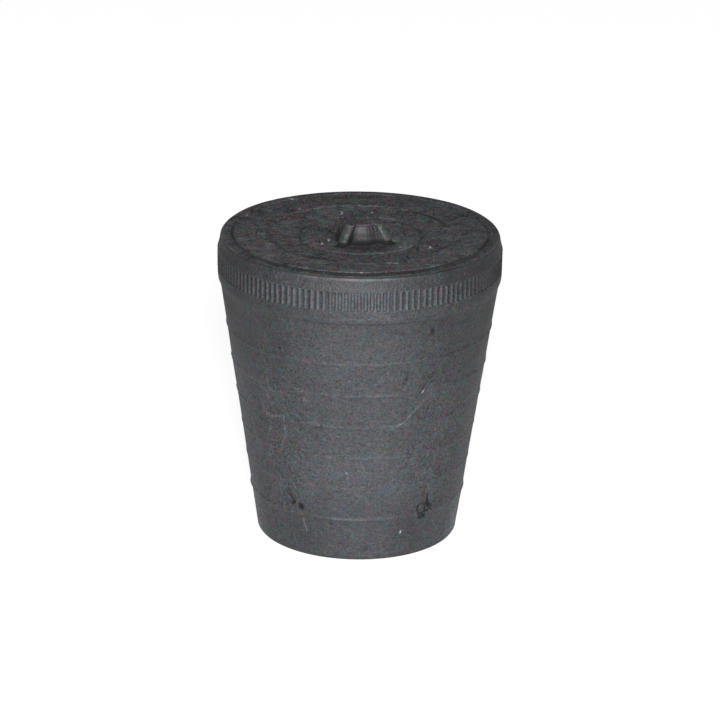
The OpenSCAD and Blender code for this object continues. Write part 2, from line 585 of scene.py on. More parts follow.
@dataclass(frozen=True)
class Boss:
    """The small hub in the middle of the top, with four ribs and a dimple."""

    top_z: float
    pad_z: float = 56.4
    pad_r: float = 10.99
    pad_fall: float = 0.28
    foot_r: float = 4.15
    waist_r: float = 3.95
    waist_h: float = 1.7
    crown_r: float = 3.3
    rib_half_w: float = 0.95
    rib_reach: tuple[float, ...] = (6.3, 6.8, 6.75, 6.5)
    rib_top_r: float = 4.45
    rib_turn: float = -32.5
    corner_r: float = 0.45
    # Painted shade on the side before and after each rib, below 0 for a painted highlight.
    rib_shading: Table = ((0.6, -1.0), (1.0, 1.0), (-0.8, -0.4), (0.5, 0.4))
    # How strong the painted highlight on each rib's round edge is.
    rib_shine: tuple[float, ...] = (1.0, 1.0, 2.0, 0.7)
    # Painted shade on each facet: in its first corner, near it, far from it and in its last corner.
    facet_shading: tuple[Colour, ...] = (
        (0.9, 0.5, 0.9, 1.0), (1.0, 0.35, 0.12, 0.2), (0.5, 0.45, 0.45, 0.5), (0.4, 0.4, 0.4, 0.6),
    )
    foot_round: float = 0.2
    top_round: float = 0.28
    dimple_r: float = 1.15
    dimple_depth: float = 0.35
    tilt: float = 0.07
    forward: float = 0.35

    def sector(self, height: float, foot_reach: float) -> tuple[Array, Array]:
        """Half of one rib with its share of the hub, at some height above the pad.

        Args:
            height: Height above the pad.
            foot_reach: Distance from the hub's axis to the rib's tip at its foot.

        Returns:
            Distance along the rib and distance to its side of each point, from the rib's tip
            to the middle of the gap.
        """
        share = height / (self.top_z - self.pad_z)
        low = self.foot_r + (self.waist_r - self.foot_r) * height / self.waist_h
        above = (height - self.waist_h) / (self.top_z - self.pad_z - self.waist_h)
        hub = min(low, self.waist_r + (self.crown_r - self.waist_r) * above) if above > 0 else low
        half = self.rib_half_w
        reach = foot_reach + (self.rib_top_r - foot_reach) * share
        corner = self.corner_r * (1 - 0.6 * share)
        centre = math.sqrt((hub + corner) ** 2 - (half + corner) ** 2)
        end = np.radians(np.linspace(0, 90, 9))
        side = np.linspace(reach - half, centre, 6)[1:-1]
        into = math.atan2(half + corner, centre)
        fillet = np.linspace(-np.pi / 2, into - np.pi, 6)
        arc = np.linspace(into, np.pi / len(self.rib_reach), 9)[1:]
        along = [
            reach - half + half * np.cos(end),
            side,
            centre + corner * np.cos(fillet),
            hub * np.cos(arc),
        ]
        across = [
            half * np.sin(end),
            np.full(len(side), half),
            half + corner + corner * np.sin(fillet),
            hub * np.sin(arc),
        ]
        return np.concatenate(along), np.concatenate(across)

    def half_nooks(self, shine: float, flank: float, corner: float, near: float, far: float) -> Array:
        """How much painted shade each point of a sector has.

        Args:
            shine: How strong the painted highlight on the rib's round edge is.
            flank: Painted shade on the rib's side.
            corner: Painted shade in the corner between the rib and the hub.
            near: Painted shade on the hub beside that corner.
            far: Painted shade on the hub beside the next rib.

        Returns:
            A number for each point, below 0 where it has a painted highlight.
        """
        edge = 1.6 * ease(np.linspace(0, np.pi / 2, 9) / 0.6 - 1.4) - 0.8
        share = np.linspace(0, 1, 9)[1:]
        facet = np.maximum(near + (far - near) * share / 2, corner * (1 - share) ** 5)
        tip = np.where(edge > 0, flank * edge, shine * edge)
        return np.concatenate([tip, np.full(4, flank), np.full(6, max(flank, corner)), facet])

    def nooks(self) -> Array:
        """How much painted shade each point of the outline has, below 0 where it has a painted highlight.

        Returns:
            A number for each point, in the outline's order.
        """
        parts = []
        for i, (before, after) in enumerate(self.rib_shading):
            corner, near, far, _ = self.facet_shading[i]
            _, last_near, last_far, last_corner = self.facet_shading[i - 1]
            shine = self.rib_shine[i]
            parts.append(self.half_nooks(shine, before, last_corner, last_far, last_near)[:0:-1])
            parts.append(self.half_nooks(shine, after, corner, near, far)[:-1])
        return np.concatenate(parts)

    def outline(self, height: float) -> Array:
        """The boss's outline at some height above the pad, in order of azimuth.

        Args:
            height: Height above the pad.

        Returns:
            The outline's points.
        """
        pitch = 360 / len(self.rib_reach)
        first = self.rib_turn - pitch * math.floor((self.rib_turn + 180) / pitch)
        radii = []
        turns = []
        for i, foot_reach in enumerate(self.rib_reach):
            along, across = self.sector(height, foot_reach)
            radius = np.hypot(along, across)
            turn = np.degrees(np.arctan2(across, along))
            radii += [radius[:0:-1], radius[:-1]]
            turns += [first + i * pitch - turn[:0:-1], first + i * pitch + turn[:-1]]
        return around(np.concatenate(radii), np.concatenate(turns), self.pad_z + height)

    def widened(self, loop: Array, amount: float) -> Array:
        """A loop moved outwards by some amount, or inwards where it is below 0.

        Args:
            loop: The loop's points.
            amount: How far each point moves.

        Returns:
            The moved loop.
        """
        along = np.roll(loop, -1, axis=0) - np.roll(loop, 1, axis=0)
        outwards = np.stack([along[:, 1], -along[:, 0], np.zeros(len(loop))], axis=1)
        return loop + amount * outwards / np.linalg.norm(outwards, axis=1, keepdims=True)

    def pad(self) -> Array:
        """The loops from the pad's groove, over the pad, to the boss's foot.

        Returns:
            The loops, as an array of loops by points by x, y, z.
        """
        inner = self.placed(self.widened(self.outline(0), self.foot_round)) - [0, 0, self.pad_fall]
        rim = around(self.pad_r, azimuths_of(inner), self.pad_z)
        loops = [rim + [0, 0, -0.16]]
        for share in (0.025, 0.06, 0.14, 0.24, 0.34, 0.44, 0.54, 0.64, 0.73, 0.81, 0.88, 0.94, 1.0):
            loop = rim + (inner - rim) * share
            loop[:, 2] = self.pad_z - self.pad_fall * ease(share) ** 1.5
            if share < 0.05:
                loop[:, 2] -= 0.03
            loops.append(loop)
        return np.array(loops)

    def side(self) -> Array:
        """The loops up the boss, from the round at its foot to its rounded top edge.

        Returns:
            The loops, as an array of loops by points by x, y, z.
        """
        loops = []
        for turn in np.radians([18, 36, 54, 72]):
            height = self.foot_round * (1 - math.cos(turn)) - self.pad_fall
            loops.append(self.widened(self.outline(0), self.foot_round * (1 - math.sin(turn))))
            loops[-1][:, 2] = self.pad_z + height
        top = self.top_z - self.pad_z
        for height in np.linspace(0.15, top - self.top_round, 15):
            loops.append(self.outline(height))
        for turn in np.radians([20, 40, 60, 80]):
            height = top - self.top_round * (1 - math.sin(turn))
            loops.append(self.widened(self.outline(height), -self.top_round * (1 - math.cos(turn))))
        return np.array(loops)

    def crown(self, edge: Array) -> Array:
        """The loops over the boss's top, from its edge to the dimple's bottom.

        Args:
            edge: The last loop of the boss's side.

        Returns:
            The loops, as an array of loops by points by x, y, z.
        """
        rim = around(self.dimple_r, azimuths_of(edge), self.top_z)
        flat = edge * [1, 1, 0] + [0, 0, self.top_z]
        loops = [rim + (flat - rim) * share for share in (0.9, 0.75, 0.6, 0.45, 0.3, 0.15)]
        for share, down in ((1.0, 0.04), (0.86, 0.16), (0.65, 0.45), (0.42, 0.75), (0.2, 0.93)):
            loops.append(rim * [share, share, 1] - [0, 0, down * self.dimple_depth])
        return np.array(loops)

    def gap(self, points: Array) -> Array:
        """Distance outwards from the boss's foot to each point, along a line from the axis.

        Args:
            points: Points in millimetres.

        Returns:
            A distance for each point, below 0 on the boss itself.
        """
        foot = self.placed(self.outline(0))
        radius = np.hypot(foot[:, 0], foot[:, 1])
        reach = np.interp(azimuths_of(points), azimuths_of(foot), radius, period=360)
        return np.hypot(points[:, 0], points[:, 1]) - reach

    def middle(self) -> Pair:
        """Where the middle of the dimple lies, as x and y."""
        return self.tilt * (self.top_z - self.pad_z), -self.forward

    def leaned(self, loops: Array) -> Array:
        """Loops leaned sideways, more so the higher they are."""
        off = self.tilt * np.clip(loops[..., 2] - self.pad_z, 0, None)
        return loops + np.stack([off, 0 * off, 0 * off], axis=-1)

    def placed(self, loops: Array) -> Array:
        """Loops moved to where the boss stands, a little in front of the axis."""
        return loops - [0, self.forward, 0]

    def grow(self, skin: Skin) -> None:
        """Adds the pad and the boss to the skin, and closes it in the dimple.

        Args:
            skin: The skin that grows.
        """
        skin.grow(self.pad(), Zone.TOP)
        side = self.side()
        skin.grow(self.placed(self.leaned(side)), Zone.HUB, self.nooks())
        skin.grow(self.placed(self.leaned(self.crown(side[-1]))), Zone.CROWN)
        skin.close((*self.middle(), self.top_z - self.dimple_depth), Zone.CROWN)


@dataclass(frozen=True)
class Atlas:
    """How the skin is laid flat: where each zone goes, in millimetres on a square sheet."""

    sheet: float = 142.0
    side_radius: float = 26.0
    hub_radius: float = 5.5
    side_places: tuple[Pair, Pair] = ((42.5, 2.0), (42.5, 66.0))
    top_place: Pair = (113.0, 30.0)
    foot_place: Pair = (106.0, 82.0)
    hub_place: Pair = (106.0, 108.0)
    crown_place: Pair = (134.0, 108.0)

    def spots(
        self, points: Array, runs: Array, middles: Array, zones: Array
    ) -> Array:
        """Where each face corner lies on the sheet.

        Args:
            points: Each corner's point, in millimetres.
            runs: Each corner's distance along the outline.
            middles: The middle of each corner's face.
            zones: The zone of each corner's face.

        Returns:
            Two coordinates from 0 to 1 for each corner.
        """
        middle = azimuths_of(middles)
        azimuth = middle + apart(azimuths_of(points), middle)
        flat = points[:, :2]
        foot = self.foot_place + flat * [1, -1]
        top = self.top_place + flat
        back = np.abs(middle) > 90
        turned = azimuth - np.where(back, np.copysign(180, middle), 0)
        start = runs[zones == Zone.SIDE.value].min()
        side = np.stack([np.radians(turned) * self.side_radius, runs - start], axis=1)
        side += np.array(self.side_places)[back.astype(int)]
        low = runs[zones == Zone.HUB.value].min()
        hub = np.stack([np.radians(azimuth) * self.hub_radius, runs - low], axis=1) + self.hub_place
        crown = self.crown_place + flat
        spots = np.select([(zones == z.value)[:, None] for z in Zone], [foot, side, top, hub, crown])
        return spots / self.sheet


class Where(Enum):
    """Which surface a mark lies on, and so what its places mean."""

    SIDE = "azimuth and height"
    TOP = "x and y"


@dataclass(frozen=True)
class Stroke:
    """A scratch, a scuff, a smear or, where it starts and ends in one place, a spot.

    On the side a place is an azimuth and a height, and on the top it is x and y. A
    tone above 0 is lighter than the rubber.
    """

    start: Pair
    end: Pair
    width: float
    tone: float
    where: Where = Where.SIDE

    def flat(self, place: Pair, side_radius: float) -> Vector:
        """A place as a point on the flat sheet that the marks are drawn on.

        Args:
            place: An azimuth and a height, or x and y.
            side_radius: The radius that the side is unrolled at.

        Returns:
            The point, in millimetres.
        """
        if self.where is Where.TOP:
            return Vector((*place, 0))
        return Vector((math.radians(place[0]) * side_radius, place[1], 0))


def scratch(start: Pair, end: Pair, width: float, tone: float) -> Stroke:
    """A mark on the side between two places, each an azimuth and a height."""
    return Stroke(start, end, width, tone)


def spot(x: float, y: float, width: float, tone: float) -> Stroke:
    """A small mark on the top, longer than it is wide."""
    return Stroke((x, y - 0.8 * width), (x, y + 0.8 * width), 0.6 * width, tone, Where.TOP)


def smear(x: float, y: float, off_x: float, off_y: float, width: float, tone: float) -> Stroke:
    """A long mark on the top, from a place to some way off it."""
    return Stroke((x, y), (x + off_x, y + off_y), width, tone, Where.TOP)


SIDE_MARKS = (
    scratch((21.8, 37.9), (19.4, 35.1), 0.7, -0.18),
    scratch((33.9, 37.2), (28.9, 33.9), 0.5, -0.16),
    scratch((30.2, 34.2), (29.2, 33.4), 0.35, 1.7),
    scratch((16.0, 27.0), (19.6, 27.7), 0.45, 0.3),
    scratch((19.6, 27.7), (24.2, 29.3), 0.45, 0.3),
    scratch((24.2, 29.3), (31.0, 32.0), 0.6, 0.22),
    scratch((-49.3, 29.5), (-49.2, 27.6), 0.45, 0.24),
    scratch((-49.2, 27.5), (-43.0, 27.3), 0.45, 0.22),
    scratch((-43.0, 27.3), (-36.3, 28.0), 0.45, 0.26),
    scratch((-36.2, 27.6), (-36.1, 24.6), 0.5, 0.28),
    scratch((-36.1, 24.6), (-40.3, 20.2), 0.5, 0.24),
    scratch((-45.6, 31.9), (-44.9, 30.6), 0.5, 0.3),
    scratch((-62.0, 22.6), (-55.0, 20.4), 0.45, 0.22),
    scratch((-24.7, 32.4), (-24.6, 32.2), 0.6, 0.5),
    scratch((-45.8, 24.7), (-45.7, 24.2), 0.6, 0.4),
    scratch((-29.6, 7.4), (-28.0, 5.2), 0.5, 0.45),
    scratch((5.0, 35.7), (17.6, 38.4), 0.3, 0.14),
    scratch((54.2, 25.9), (53.0, 24.2), 0.4, 0.2),
    scratch((-25.0, 29.2), (-17.3, 27.4), 0.4, 0.1),
    scratch((-17.3, 27.4), (-10.6, 24.6), 0.4, 0.12),
    scratch((24.8, 5.5), (24.8, 5.3), 0.55, 2.0),
    scratch((-5.2, 18.1), (-5.2, 18.1), 0.5, 1.7),
    scratch((112.0, 14.0), (126.0, 19.5), 0.4, 0.2),
    scratch((150.0, 30.5), (171.0, 26.8), 0.35, 0.16),
    scratch((-140.0, 22.0), (-128.0, 24.5), 0.5, 0.16),
    scratch((-103.0, 36.0), (-98.0, 31.0), 0.4, 0.16),
)

TOP_MARKS = (
    spot(-3.5, 13.2, 0.9, 1.3),
    spot(2.2, 13.2, 0.8, 2.2),
    spot(2.7, 10.7, 0.7, 1.1),
    smear(-2.4, 16.3, 0.9, 0.1, 0.6, 0.35),
    smear(0.5, 16.8, 1.1, 0.1, 0.6, 0.35),
    smear(4.0, 15.9, 2.6, -0.6, 0.6, 0.22),
    spot(-1.2, 11.3, 0.6, 0.35),
    spot(-6.9, -5.0, 0.8, 2.1),
    spot(-8.3, -5.0, 0.6, 0.35),
    spot(-5.7, -2.6, 0.9, 1.4),
    spot(12.6, -6.7, 0.8, 2.0),
    smear(10.9, -5.6, 1.0, -0.1, 0.7, 0.35),
    spot(16.3, -1.7, 1.4, 0.18),
    smear(15.4, 4.6, 0.9, -1.2, 0.9, 0.3),
    smear(-13.4, 20.3, 1.3, -0.9, 0.8, 1.1),
    spot(-11.4, 14.2, 0.7, 1.3),
    spot(-20.6, 15.4, 0.6, 0.35),
    spot(-21.0, 9.4, 0.7, 1.1),
    smear(-9.6, -13.5, 1.9, -0.2, 0.9, -0.6),
    smear(-7.4, -14.3, 3.0, -1.0, 0.8, -0.3),
    spot(8.6, -12.6, 1.0, -0.35),
    spot(10.3, -7.9, 1.1, -0.3),
    smear(14.6, -7.6, 0.6, 0.0, 0.9, -0.3),
    spot(-15.6, 3.0, 1.3, 0.12),
    smear(-19.4, -1.0, 1.4, 2.0, 1.2, -0.14),
    smear(17.2, 12.6, 2.2, -2.4, 1.3, -0.12),
    smear(-5.0, 20.6, 3.0, 0.6, 1.2, -0.14),
    smear(6.6, 19.4, 2.4, -0.8, 1.0, 0.1),
    smear(5.1, -17.1, 1.5, 0.0, 0.7, 1.5),
    smear(0.2, -17.7, 1.8, 0.1, 0.6, 0.3),
)


class Graph:
    """Makes and joins the nodes of a material, of a group or of the world."""

    def __init__(self, tree: bpy.types.NodeTree) -> None:
        """Starts with no nodes."""
        self.tree = tree
        tree.nodes.clear()

    def node(self, kind: str, **settings: object) -> bpy.types.Node:
        """A new node, with its own properties set.

        Args:
            kind: The node's type.
            settings: The properties' names and values.

        Returns:
            The node.
        """
        made = self.tree.nodes.new(kind)
        for name, value in settings.items():
            setattr(made, name, value)
        return made

    def feed(self, socket: Socket, value: object) -> None:
        """Links a socket to another, or sets its value.

        Args:
            socket: The socket that takes the value.
            value: A value, or a socket that gives one.
        """
        if isinstance(value, Socket):
            self.tree.links.new(value, socket)
        else:
            socket.default_value = value

    def math(self, kind: str, a: Value, b: Value = 0.0, c: Value = 0.0) -> Socket:
        """One step of arithmetic.

        Args:
            kind: The operation.
            a, b, c: Its numbers, as many as it takes.

        Returns:
            The result.
        """
        made = self.node("ShaderNodeMath", operation=kind)
        for socket, value in zip(made.inputs, (a, b, c)):
            self.feed(socket, value)
        return made.outputs[0]

    def vector(self, kind: str, a: object, b: object = None, scale: Value = 1.0) -> Socket:
        """One step of vector arithmetic, which gives a vector, or a number for a length or a dot.

        Args:
            kind: The operation.
            a, b: Its vectors, one or two.
            scale: What a SCALE scales by.

        Returns:
            The result.
        """
        made = self.node("ShaderNodeVectorMath", operation=kind)
        self.feed(made.inputs[0], a)
        if b is not None:
            self.feed(made.inputs[1], b)
        if kind == "SCALE":
            self.feed(made.inputs["Scale"], scale)
        return made.outputs["Value" if kind in ("DOT_PRODUCT", "DISTANCE") else "Vector"]

    def ramp(self, value: Value, low: float, high: float, start: float = 0.0, end: float = 1.0) -> Socket:
        """A smooth step from start to end as value goes from low to high.

        Args:
            value: What the step follows.
            low, high: Where it starts and ends.
            start, end: What it goes from and to.

        Returns:
            A number from start to end.
        """
        made = self.node("ShaderNodeMapRange", interpolation_type="SMOOTHSTEP")
        numbers = {"Value": value, "From Min": low, "From Max": high, "To Min": start, "To Max": end}
        for name, number in numbers.items():
            self.feed(made.inputs[name], number)
        return made.outputs["Result"]

    def noise(self, place: Socket, size: float, detail: float = 2.0, rough: float = 0.5) -> Socket:
        """Cloudy unevenness from 0 to 1, with lumps of about the given size."""
        return self.clouds(place, size, detail, rough).outputs["Fac"]

    def clouds(self, place: Socket, size: float, detail: float, rough: float) -> bpy.types.Node:
        """A noise node, which gives unevenness as a number and as a colour.

        Args:
            place: Where the unevenness is read.
            size: The size of its lumps.
            detail: How many finer sizes it holds.
            rough: How strong those are.

        Returns:
            The node.
        """
        made = self.node("ShaderNodeTexNoise")
        for name, value in {"Vector": place, "Scale": 1 / size, "Detail": detail, "Roughness": rough}.items():
            self.feed(made.inputs[name], value)
        return made

    def total(self, *parts: Value) -> Socket:
        """The sum of several numbers.

        Args:
            parts: The numbers.

        Returns:
            The sum.
        """
        result = parts[0]
        for part in parts[1:]:
            result = self.math("ADD", result, part)
        return result

    def weighted(self, value: Value, weight: Value) -> Socket:
        """A number times a weight."""
        return self.math("MULTIPLY", value, weight)

    def swing(self, value: Value, weight: Value) -> Socket:
        """Unevenness from 0 to 1 turned into a shift about 0, times a weight."""
        return self.weighted(self.math("SUBTRACT", value, 0.5), weight)

    def within(self, value: Value) -> Socket:
        """A number kept from 0 to 1."""
        return self.math("MINIMUM", self.math("MAXIMUM", value, 0.0), 1.0)

    def mix(self, share: Value, first: object, second: object) -> Socket:
        """A colour between two others.

        Args:
            share: 0 for the first, 1 for the second.
            first, second: The colours.

        Returns:
            The colour.
        """
        made = self.node("ShaderNodeMix", data_type="RGBA")
        self.feed(made.inputs["Factor"], share)
        self.feed(made.inputs[6], first)
        self.feed(made.inputs[7], second)
        return made.outputs[2]

    def attribute(self, name: str) -> Socket:
        """A number that the mesh holds at each point."""
        return self.node("ShaderNodeAttribute", attribute_name=name).outputs["Fac"]


@dataclass(frozen=True)
class Grain:
    """One size of unevenness, and how strongly it shows in the rubber's tone and in its relief."""

    size: float
    detail: float
    rough: float
    tone: float
    top_tone: float = 0.0
    relief: float = 0.0

    def noise(self, graph: Graph, place: Socket) -> Socket:
        """The unevenness, from 0 to 1."""
        return graph.noise(place, self.size, self.detail, self.rough)

    def shade(self, graph: Graph, noise: Socket, top: Socket) -> Socket:
        """What the unevenness adds to the tone, which may be more on the top."""
        weight = graph.math("MULTIPLY_ADD", top, self.top_tone, self.tone) if self.top_tone else self.tone
        return graph.swing(noise, weight)


@dataclass(frozen=True)
class Rubber:
    """Old black rubber with a grey bloom, fine grain and dust, and with painted shade in its hollows, painted
    highlights on its edges and painted light that falls off to its sides.
    """

    deep: Colour = (0.008, 0.008, 0.010, 1)
    cool_bloom: Colour = (0.228, 0.241, 0.268, 1)
    warm_bloom: Colour = (0.252, 0.246, 0.254, 1)
    crumb: Colour = (0.62, 0.62, 0.64, 1)
    level: float = 0.315
    specular: float = 0.6
    broad: Grain = Grain(13.0, 2.0, 0.5, tone=0.14)
    patchy: Grain = Grain(3.0, 3.0, 0.6, tone=0.24, top_tone=0.3, relief=0.2)
    mottled: Grain = Grain(1.2, 2.0, 0.6, tone=0.2, top_tone=0.28, relief=0.2)
    fine: Grain = Grain(0.5, 2.0, 0.65, tone=0.55, top_tone=0.1, relief=0.2)
    powder: Grain = Grain(0.26, 1.0, 0.5, tone=0.66, relief=0.08)
    flecks: Grain = Grain(0.8, 2.0, 0.6, tone=0.15, relief=0.02)
    fleck_ends: Pair = (0.6, 0.72)
    pores: Grain = Grain(1.0, 2.0, 0.6, tone=-0.04, relief=-0.03)
    pore_ends: Pair = (0.4, 0.28)
    top_draw: float = -0.45
    polish_calm: float = -0.75
    highlight_tone: float = 0.2
    dust_tone: float = 0.8
    dust_relief: float = 0.05
    mark_relief: float = 0.06
    roughness: float = 0.73
    patchy_rough: float = 0.2
    fine_rough: float = 0.25
    shade_rough: float = 0.2
    polish_rough: float = -0.3
    wander: Triple = (0.75, -0.54, -0.26)
    drift: Triple = (0.16, 0.1, -0.58)
    tint_size: float = 1.3
    top_tint: float = 0.9
    top_warmth: float = 0.6
    speck_gap: float = 1.3
    speck_area: float = 1.9
    speck_ends: Pair = (0.48, 0.74)
    speck_radius: float = 0.17
    speck_edge: Pair = (0.06, -0.02)
    dusty_area: float = 5.5
    dusty_ends: Pair = (0.42, 0.62)
    side_dust: float = 0.35
    top_dust: float = 0.65
    mark_edge: Pair = (0.6, 0.25)
    ragged_size: float = 0.9
    ragged_reach: float = 0.8
    broken_size: float = 0.45
    broken_ends: Pair = (0.36, 0.56)
    broken_least: float = 0.5
    side_radius: float = 22.0
    marks: tuple[Stroke, ...] = SIDE_MARKS + TOP_MARKS

    def stroke_group(self) -> bpy.types.NodeTree:
        """A group that gives how far a place lies inside a stroke, from 0 to 1.

        Returns:
            The group.
        """
        tree = bpy.data.node_groups.new("rubber_stroke", "ShaderNodeTree")
        sockets = {"Place": "Vector", "Start": "Vector", "Along": "Vector", "Width": "Float"}
        for name, kind in sockets.items():
            tree.interface.new_socket(name, in_out="INPUT", socket_type="NodeSocket" + kind)
        tree.interface.new_socket("Mask", in_out="OUTPUT", socket_type="NodeSocketFloat")
        graph = Graph(tree)
        given = graph.node("NodeGroupInput").outputs
        off = graph.vector("SUBTRACT", given["Place"], given["Start"])
        square = graph.vector("DOT_PRODUCT", given["Along"], given["Along"])
        share = graph.math("DIVIDE", graph.vector("DOT_PRODUCT", off, given["Along"]), square)
        nearest = graph.vector("SCALE", given["Along"], scale=graph.within(share))
        reach = graph.math("DIVIDE", graph.vector("DISTANCE", off, nearest), given["Width"])
        taken = graph.node("NodeGroupOutput")
        graph.feed(taken.inputs["Mask"], graph.ramp(reach, *self.mark_edge))
        return tree

    def flattened(self, graph: Graph, place: Socket) -> dict[Where, Socket]:
        """Where a place lies on the flat sheet of the side and on that of the top.

        Args:
            graph: The material's nodes.
            place: The place of what is shaded, in millimetres.

        Returns:
            The place on each sheet.
        """
        parts = graph.node("ShaderNodeSeparateXYZ")
        graph.feed(parts.inputs[0], place)
        x, y, z = parts.outputs
        turn = graph.math("ARCTAN2", x, graph.weighted(y, -1.0))
        sheets = {}
        for where, across, up in (
            (Where.SIDE, graph.weighted(turn, self.side_radius), z),
            (Where.TOP, x, y),
        ):
            flat = graph.node("ShaderNodeCombineXYZ")
            graph.feed(flat.inputs[0], across)
            graph.feed(flat.inputs[1], up)
            sheets[where] = flat.outputs[0]
        return sheets

    def marked(self, graph: Graph, place: Socket, top: Socket) -> Socket:
        """The tone that scratches, smears and spots add at each place.

        Args:
            graph: The material's nodes.
            place: The place of what is shaded, in millimetres.
            top: 1 on the top, and 0 on the side.

        Returns:
            The tone, above 0 where it is lighter.
        """
        ragged = graph.clouds(place, self.ragged_size, 2.0, 0.5).outputs["Color"]
        about = graph.vector("SUBTRACT", ragged, (0.5, 0.5, 0.5))
        shift = graph.vector("SCALE", about, scale=self.ragged_reach)
        sheets = self.flattened(graph, place)
        cloud = graph.noise(place, self.broken_size, 1.0)
        broken = graph.ramp(cloud, *self.broken_ends, self.broken_least, 1.0)
        shares = {Where.SIDE: graph.math("SUBTRACT", 1.0, top), Where.TOP: top}
        group = self.stroke_group()
        tones = []
        for where, sheet in sheets.items():
            spread = graph.vector("ADD", sheet, shift)
            tone = 0.0
            for mark in [mark for mark in self.marks if mark.where is where]:
                start = mark.flat(mark.start, self.side_radius)
                made = graph.node("ShaderNodeGroup", node_tree=group)
                graph.feed(made.inputs["Place"], spread)
                made.inputs["Start"].default_value = start
                made.inputs["Along"].default_value = mark.flat(mark.end, self.side_radius) - start
                made.inputs["Width"].default_value = mark.width
                tone = graph.math("MULTIPLY_ADD", made.outputs["Mask"], mark.tone, tone)
            tones.append(graph.weighted(tone, shares[where]))
        return graph.weighted(graph.total(*tones), broken)

    def dusted(self, graph: Graph, place: Socket, top: Socket) -> Socket:
        """Small light specks, which are thicker on the top.

        Args:
            graph: The material's nodes.
            place: The place of what is shaded, in millimetres.
            top: 1 on the top, and 0 on the side.

        Returns:
            1 on a speck, and 0 beside it.
        """
        cells = graph.node("ShaderNodeTexVoronoi")
        graph.feed(cells.inputs["Vector"], place)
        graph.feed(cells.inputs["Scale"], 1 / self.speck_gap)
        size = graph.ramp(graph.noise(place, self.speck_area, 1.0), *self.speck_ends, 0.0, self.speck_radius)
        speck = graph.ramp(graph.math("SUBTRACT", cells.outputs["Distance"], size), *self.speck_edge)
        dusty = graph.ramp(graph.noise(place, self.dusty_area, 1.0), *self.dusty_ends)
        share = graph.total(graph.weighted(dusty, self.side_dust), graph.weighted(top, self.top_dust))
        return graph.weighted(speck, share)

    def tinted(self, graph: Graph, place: Socket, top: Socket, coarse: Socket) -> Socket:
        """The colour of the bloom, which wanders to either side of grey and is warmer on the top.

        Args:
            graph: The material's nodes.
            place: The place of what is shaded, in millimetres.
            top: 1 on the top, and 0 on the side.
            coarse: How strong the grain is.

        Returns:
            The colour.
        """
        plain = graph.mix(graph.weighted(top, self.top_warmth), self.cool_bloom, self.warm_bloom)
        patches = graph.clouds(place, self.tint_size, 1.5, 0.5).outputs["Color"]
        split = graph.node("ShaderNodeSeparateXYZ")
        graph.feed(split.inputs[0], patches)
        weight = graph.weighted(graph.math("MULTIPLY_ADD", top, self.top_tint, 1.0), coarse)
        off = graph.vector("SCALE", self.wander, scale=graph.swing(split.outputs[0], weight))
        other = graph.vector("SCALE", self.drift, scale=graph.swing(split.outputs[1], weight))
        share = graph.vector("ADD", graph.vector("ADD", off, other), (1.0, 1.0, 1.0))
        return graph.vector("MULTIPLY", plain, share)

    def drawn_out(self, graph: Graph, place: Socket, top: Socket) -> Socket:
        """Places drawn out from front to back on the top, as its fine grain is.

        Args:
            graph: The material's nodes.
            place: The place of what is shaded, in millimetres.
            top: 1 on the top, and 0 on the side.

        Returns:
            The places that fine grain is read at.
        """
        stretch = graph.node("ShaderNodeCombineXYZ")
        for socket in stretch.inputs:
            socket.default_value = 1.0
        graph.feed(stretch.inputs["Y"], graph.math("MULTIPLY_ADD", top, self.top_draw, 1.0))
        return graph.vector("MULTIPLY", place, stretch.outputs[0])

    def build(self) -> bpy.types.Material:
        """The material.

        Returns:
            A material whose colour, roughness and bump come from its nodes.
        """
        material = bpy.data.materials.new("bloomed_rubber")
        material.use_nodes = True
        graph = Graph(material.node_tree)
        place = graph.vector("SCALE", graph.node("ShaderNodeTexCoord").outputs["Object"], scale=1 / MM)
        painted_shade, worn_and_highlit, top, pale, polish, coarse = (
            graph.attribute(name) for name in ("painted_shade", "worn_and_highlit", "top", "pale", "polish", "coarse")
        )
        drawn = self.drawn_out(graph, place, top)
        layout = {
            self.broad: place, self.patchy: place, self.mottled: place, self.fine: drawn, self.powder: drawn,
        }
        noises = {grain: grain.noise(graph, at) for grain, at in layout.items()}
        flecks = graph.ramp(self.flecks.noise(graph, place), *self.fleck_ends)
        pores = graph.ramp(self.pores.noise(graph, place), *self.pore_ends)
        marks = self.marked(graph, place, top)
        dust = self.dusted(graph, place, top)
        texture = graph.total(
            *(grain.shade(graph, noise, top) for grain, noise in noises.items()),
            graph.weighted(flecks, self.flecks.tone),
            graph.weighted(pores, self.pores.tone),
        )
        calm = graph.math("MULTIPLY_ADD", graph.weighted(polish, polish), self.polish_calm, 1.0)
        plain = graph.math("MULTIPLY_ADD", texture, graph.weighted(coarse, calm), self.level)
        # The pale field scales the tone, mostly with painted light and shade.
        shaded = graph.weighted(plain, graph.math("MULTIPLY_ADD", pale, 1 / self.level, 1.0))
        # Painted highlights on edges are added here, with the dust and the marks.
        tone = graph.total(
            shaded, graph.weighted(worn_and_highlit, self.highlight_tone), graph.weighted(dust, self.dust_tone), marks
        )
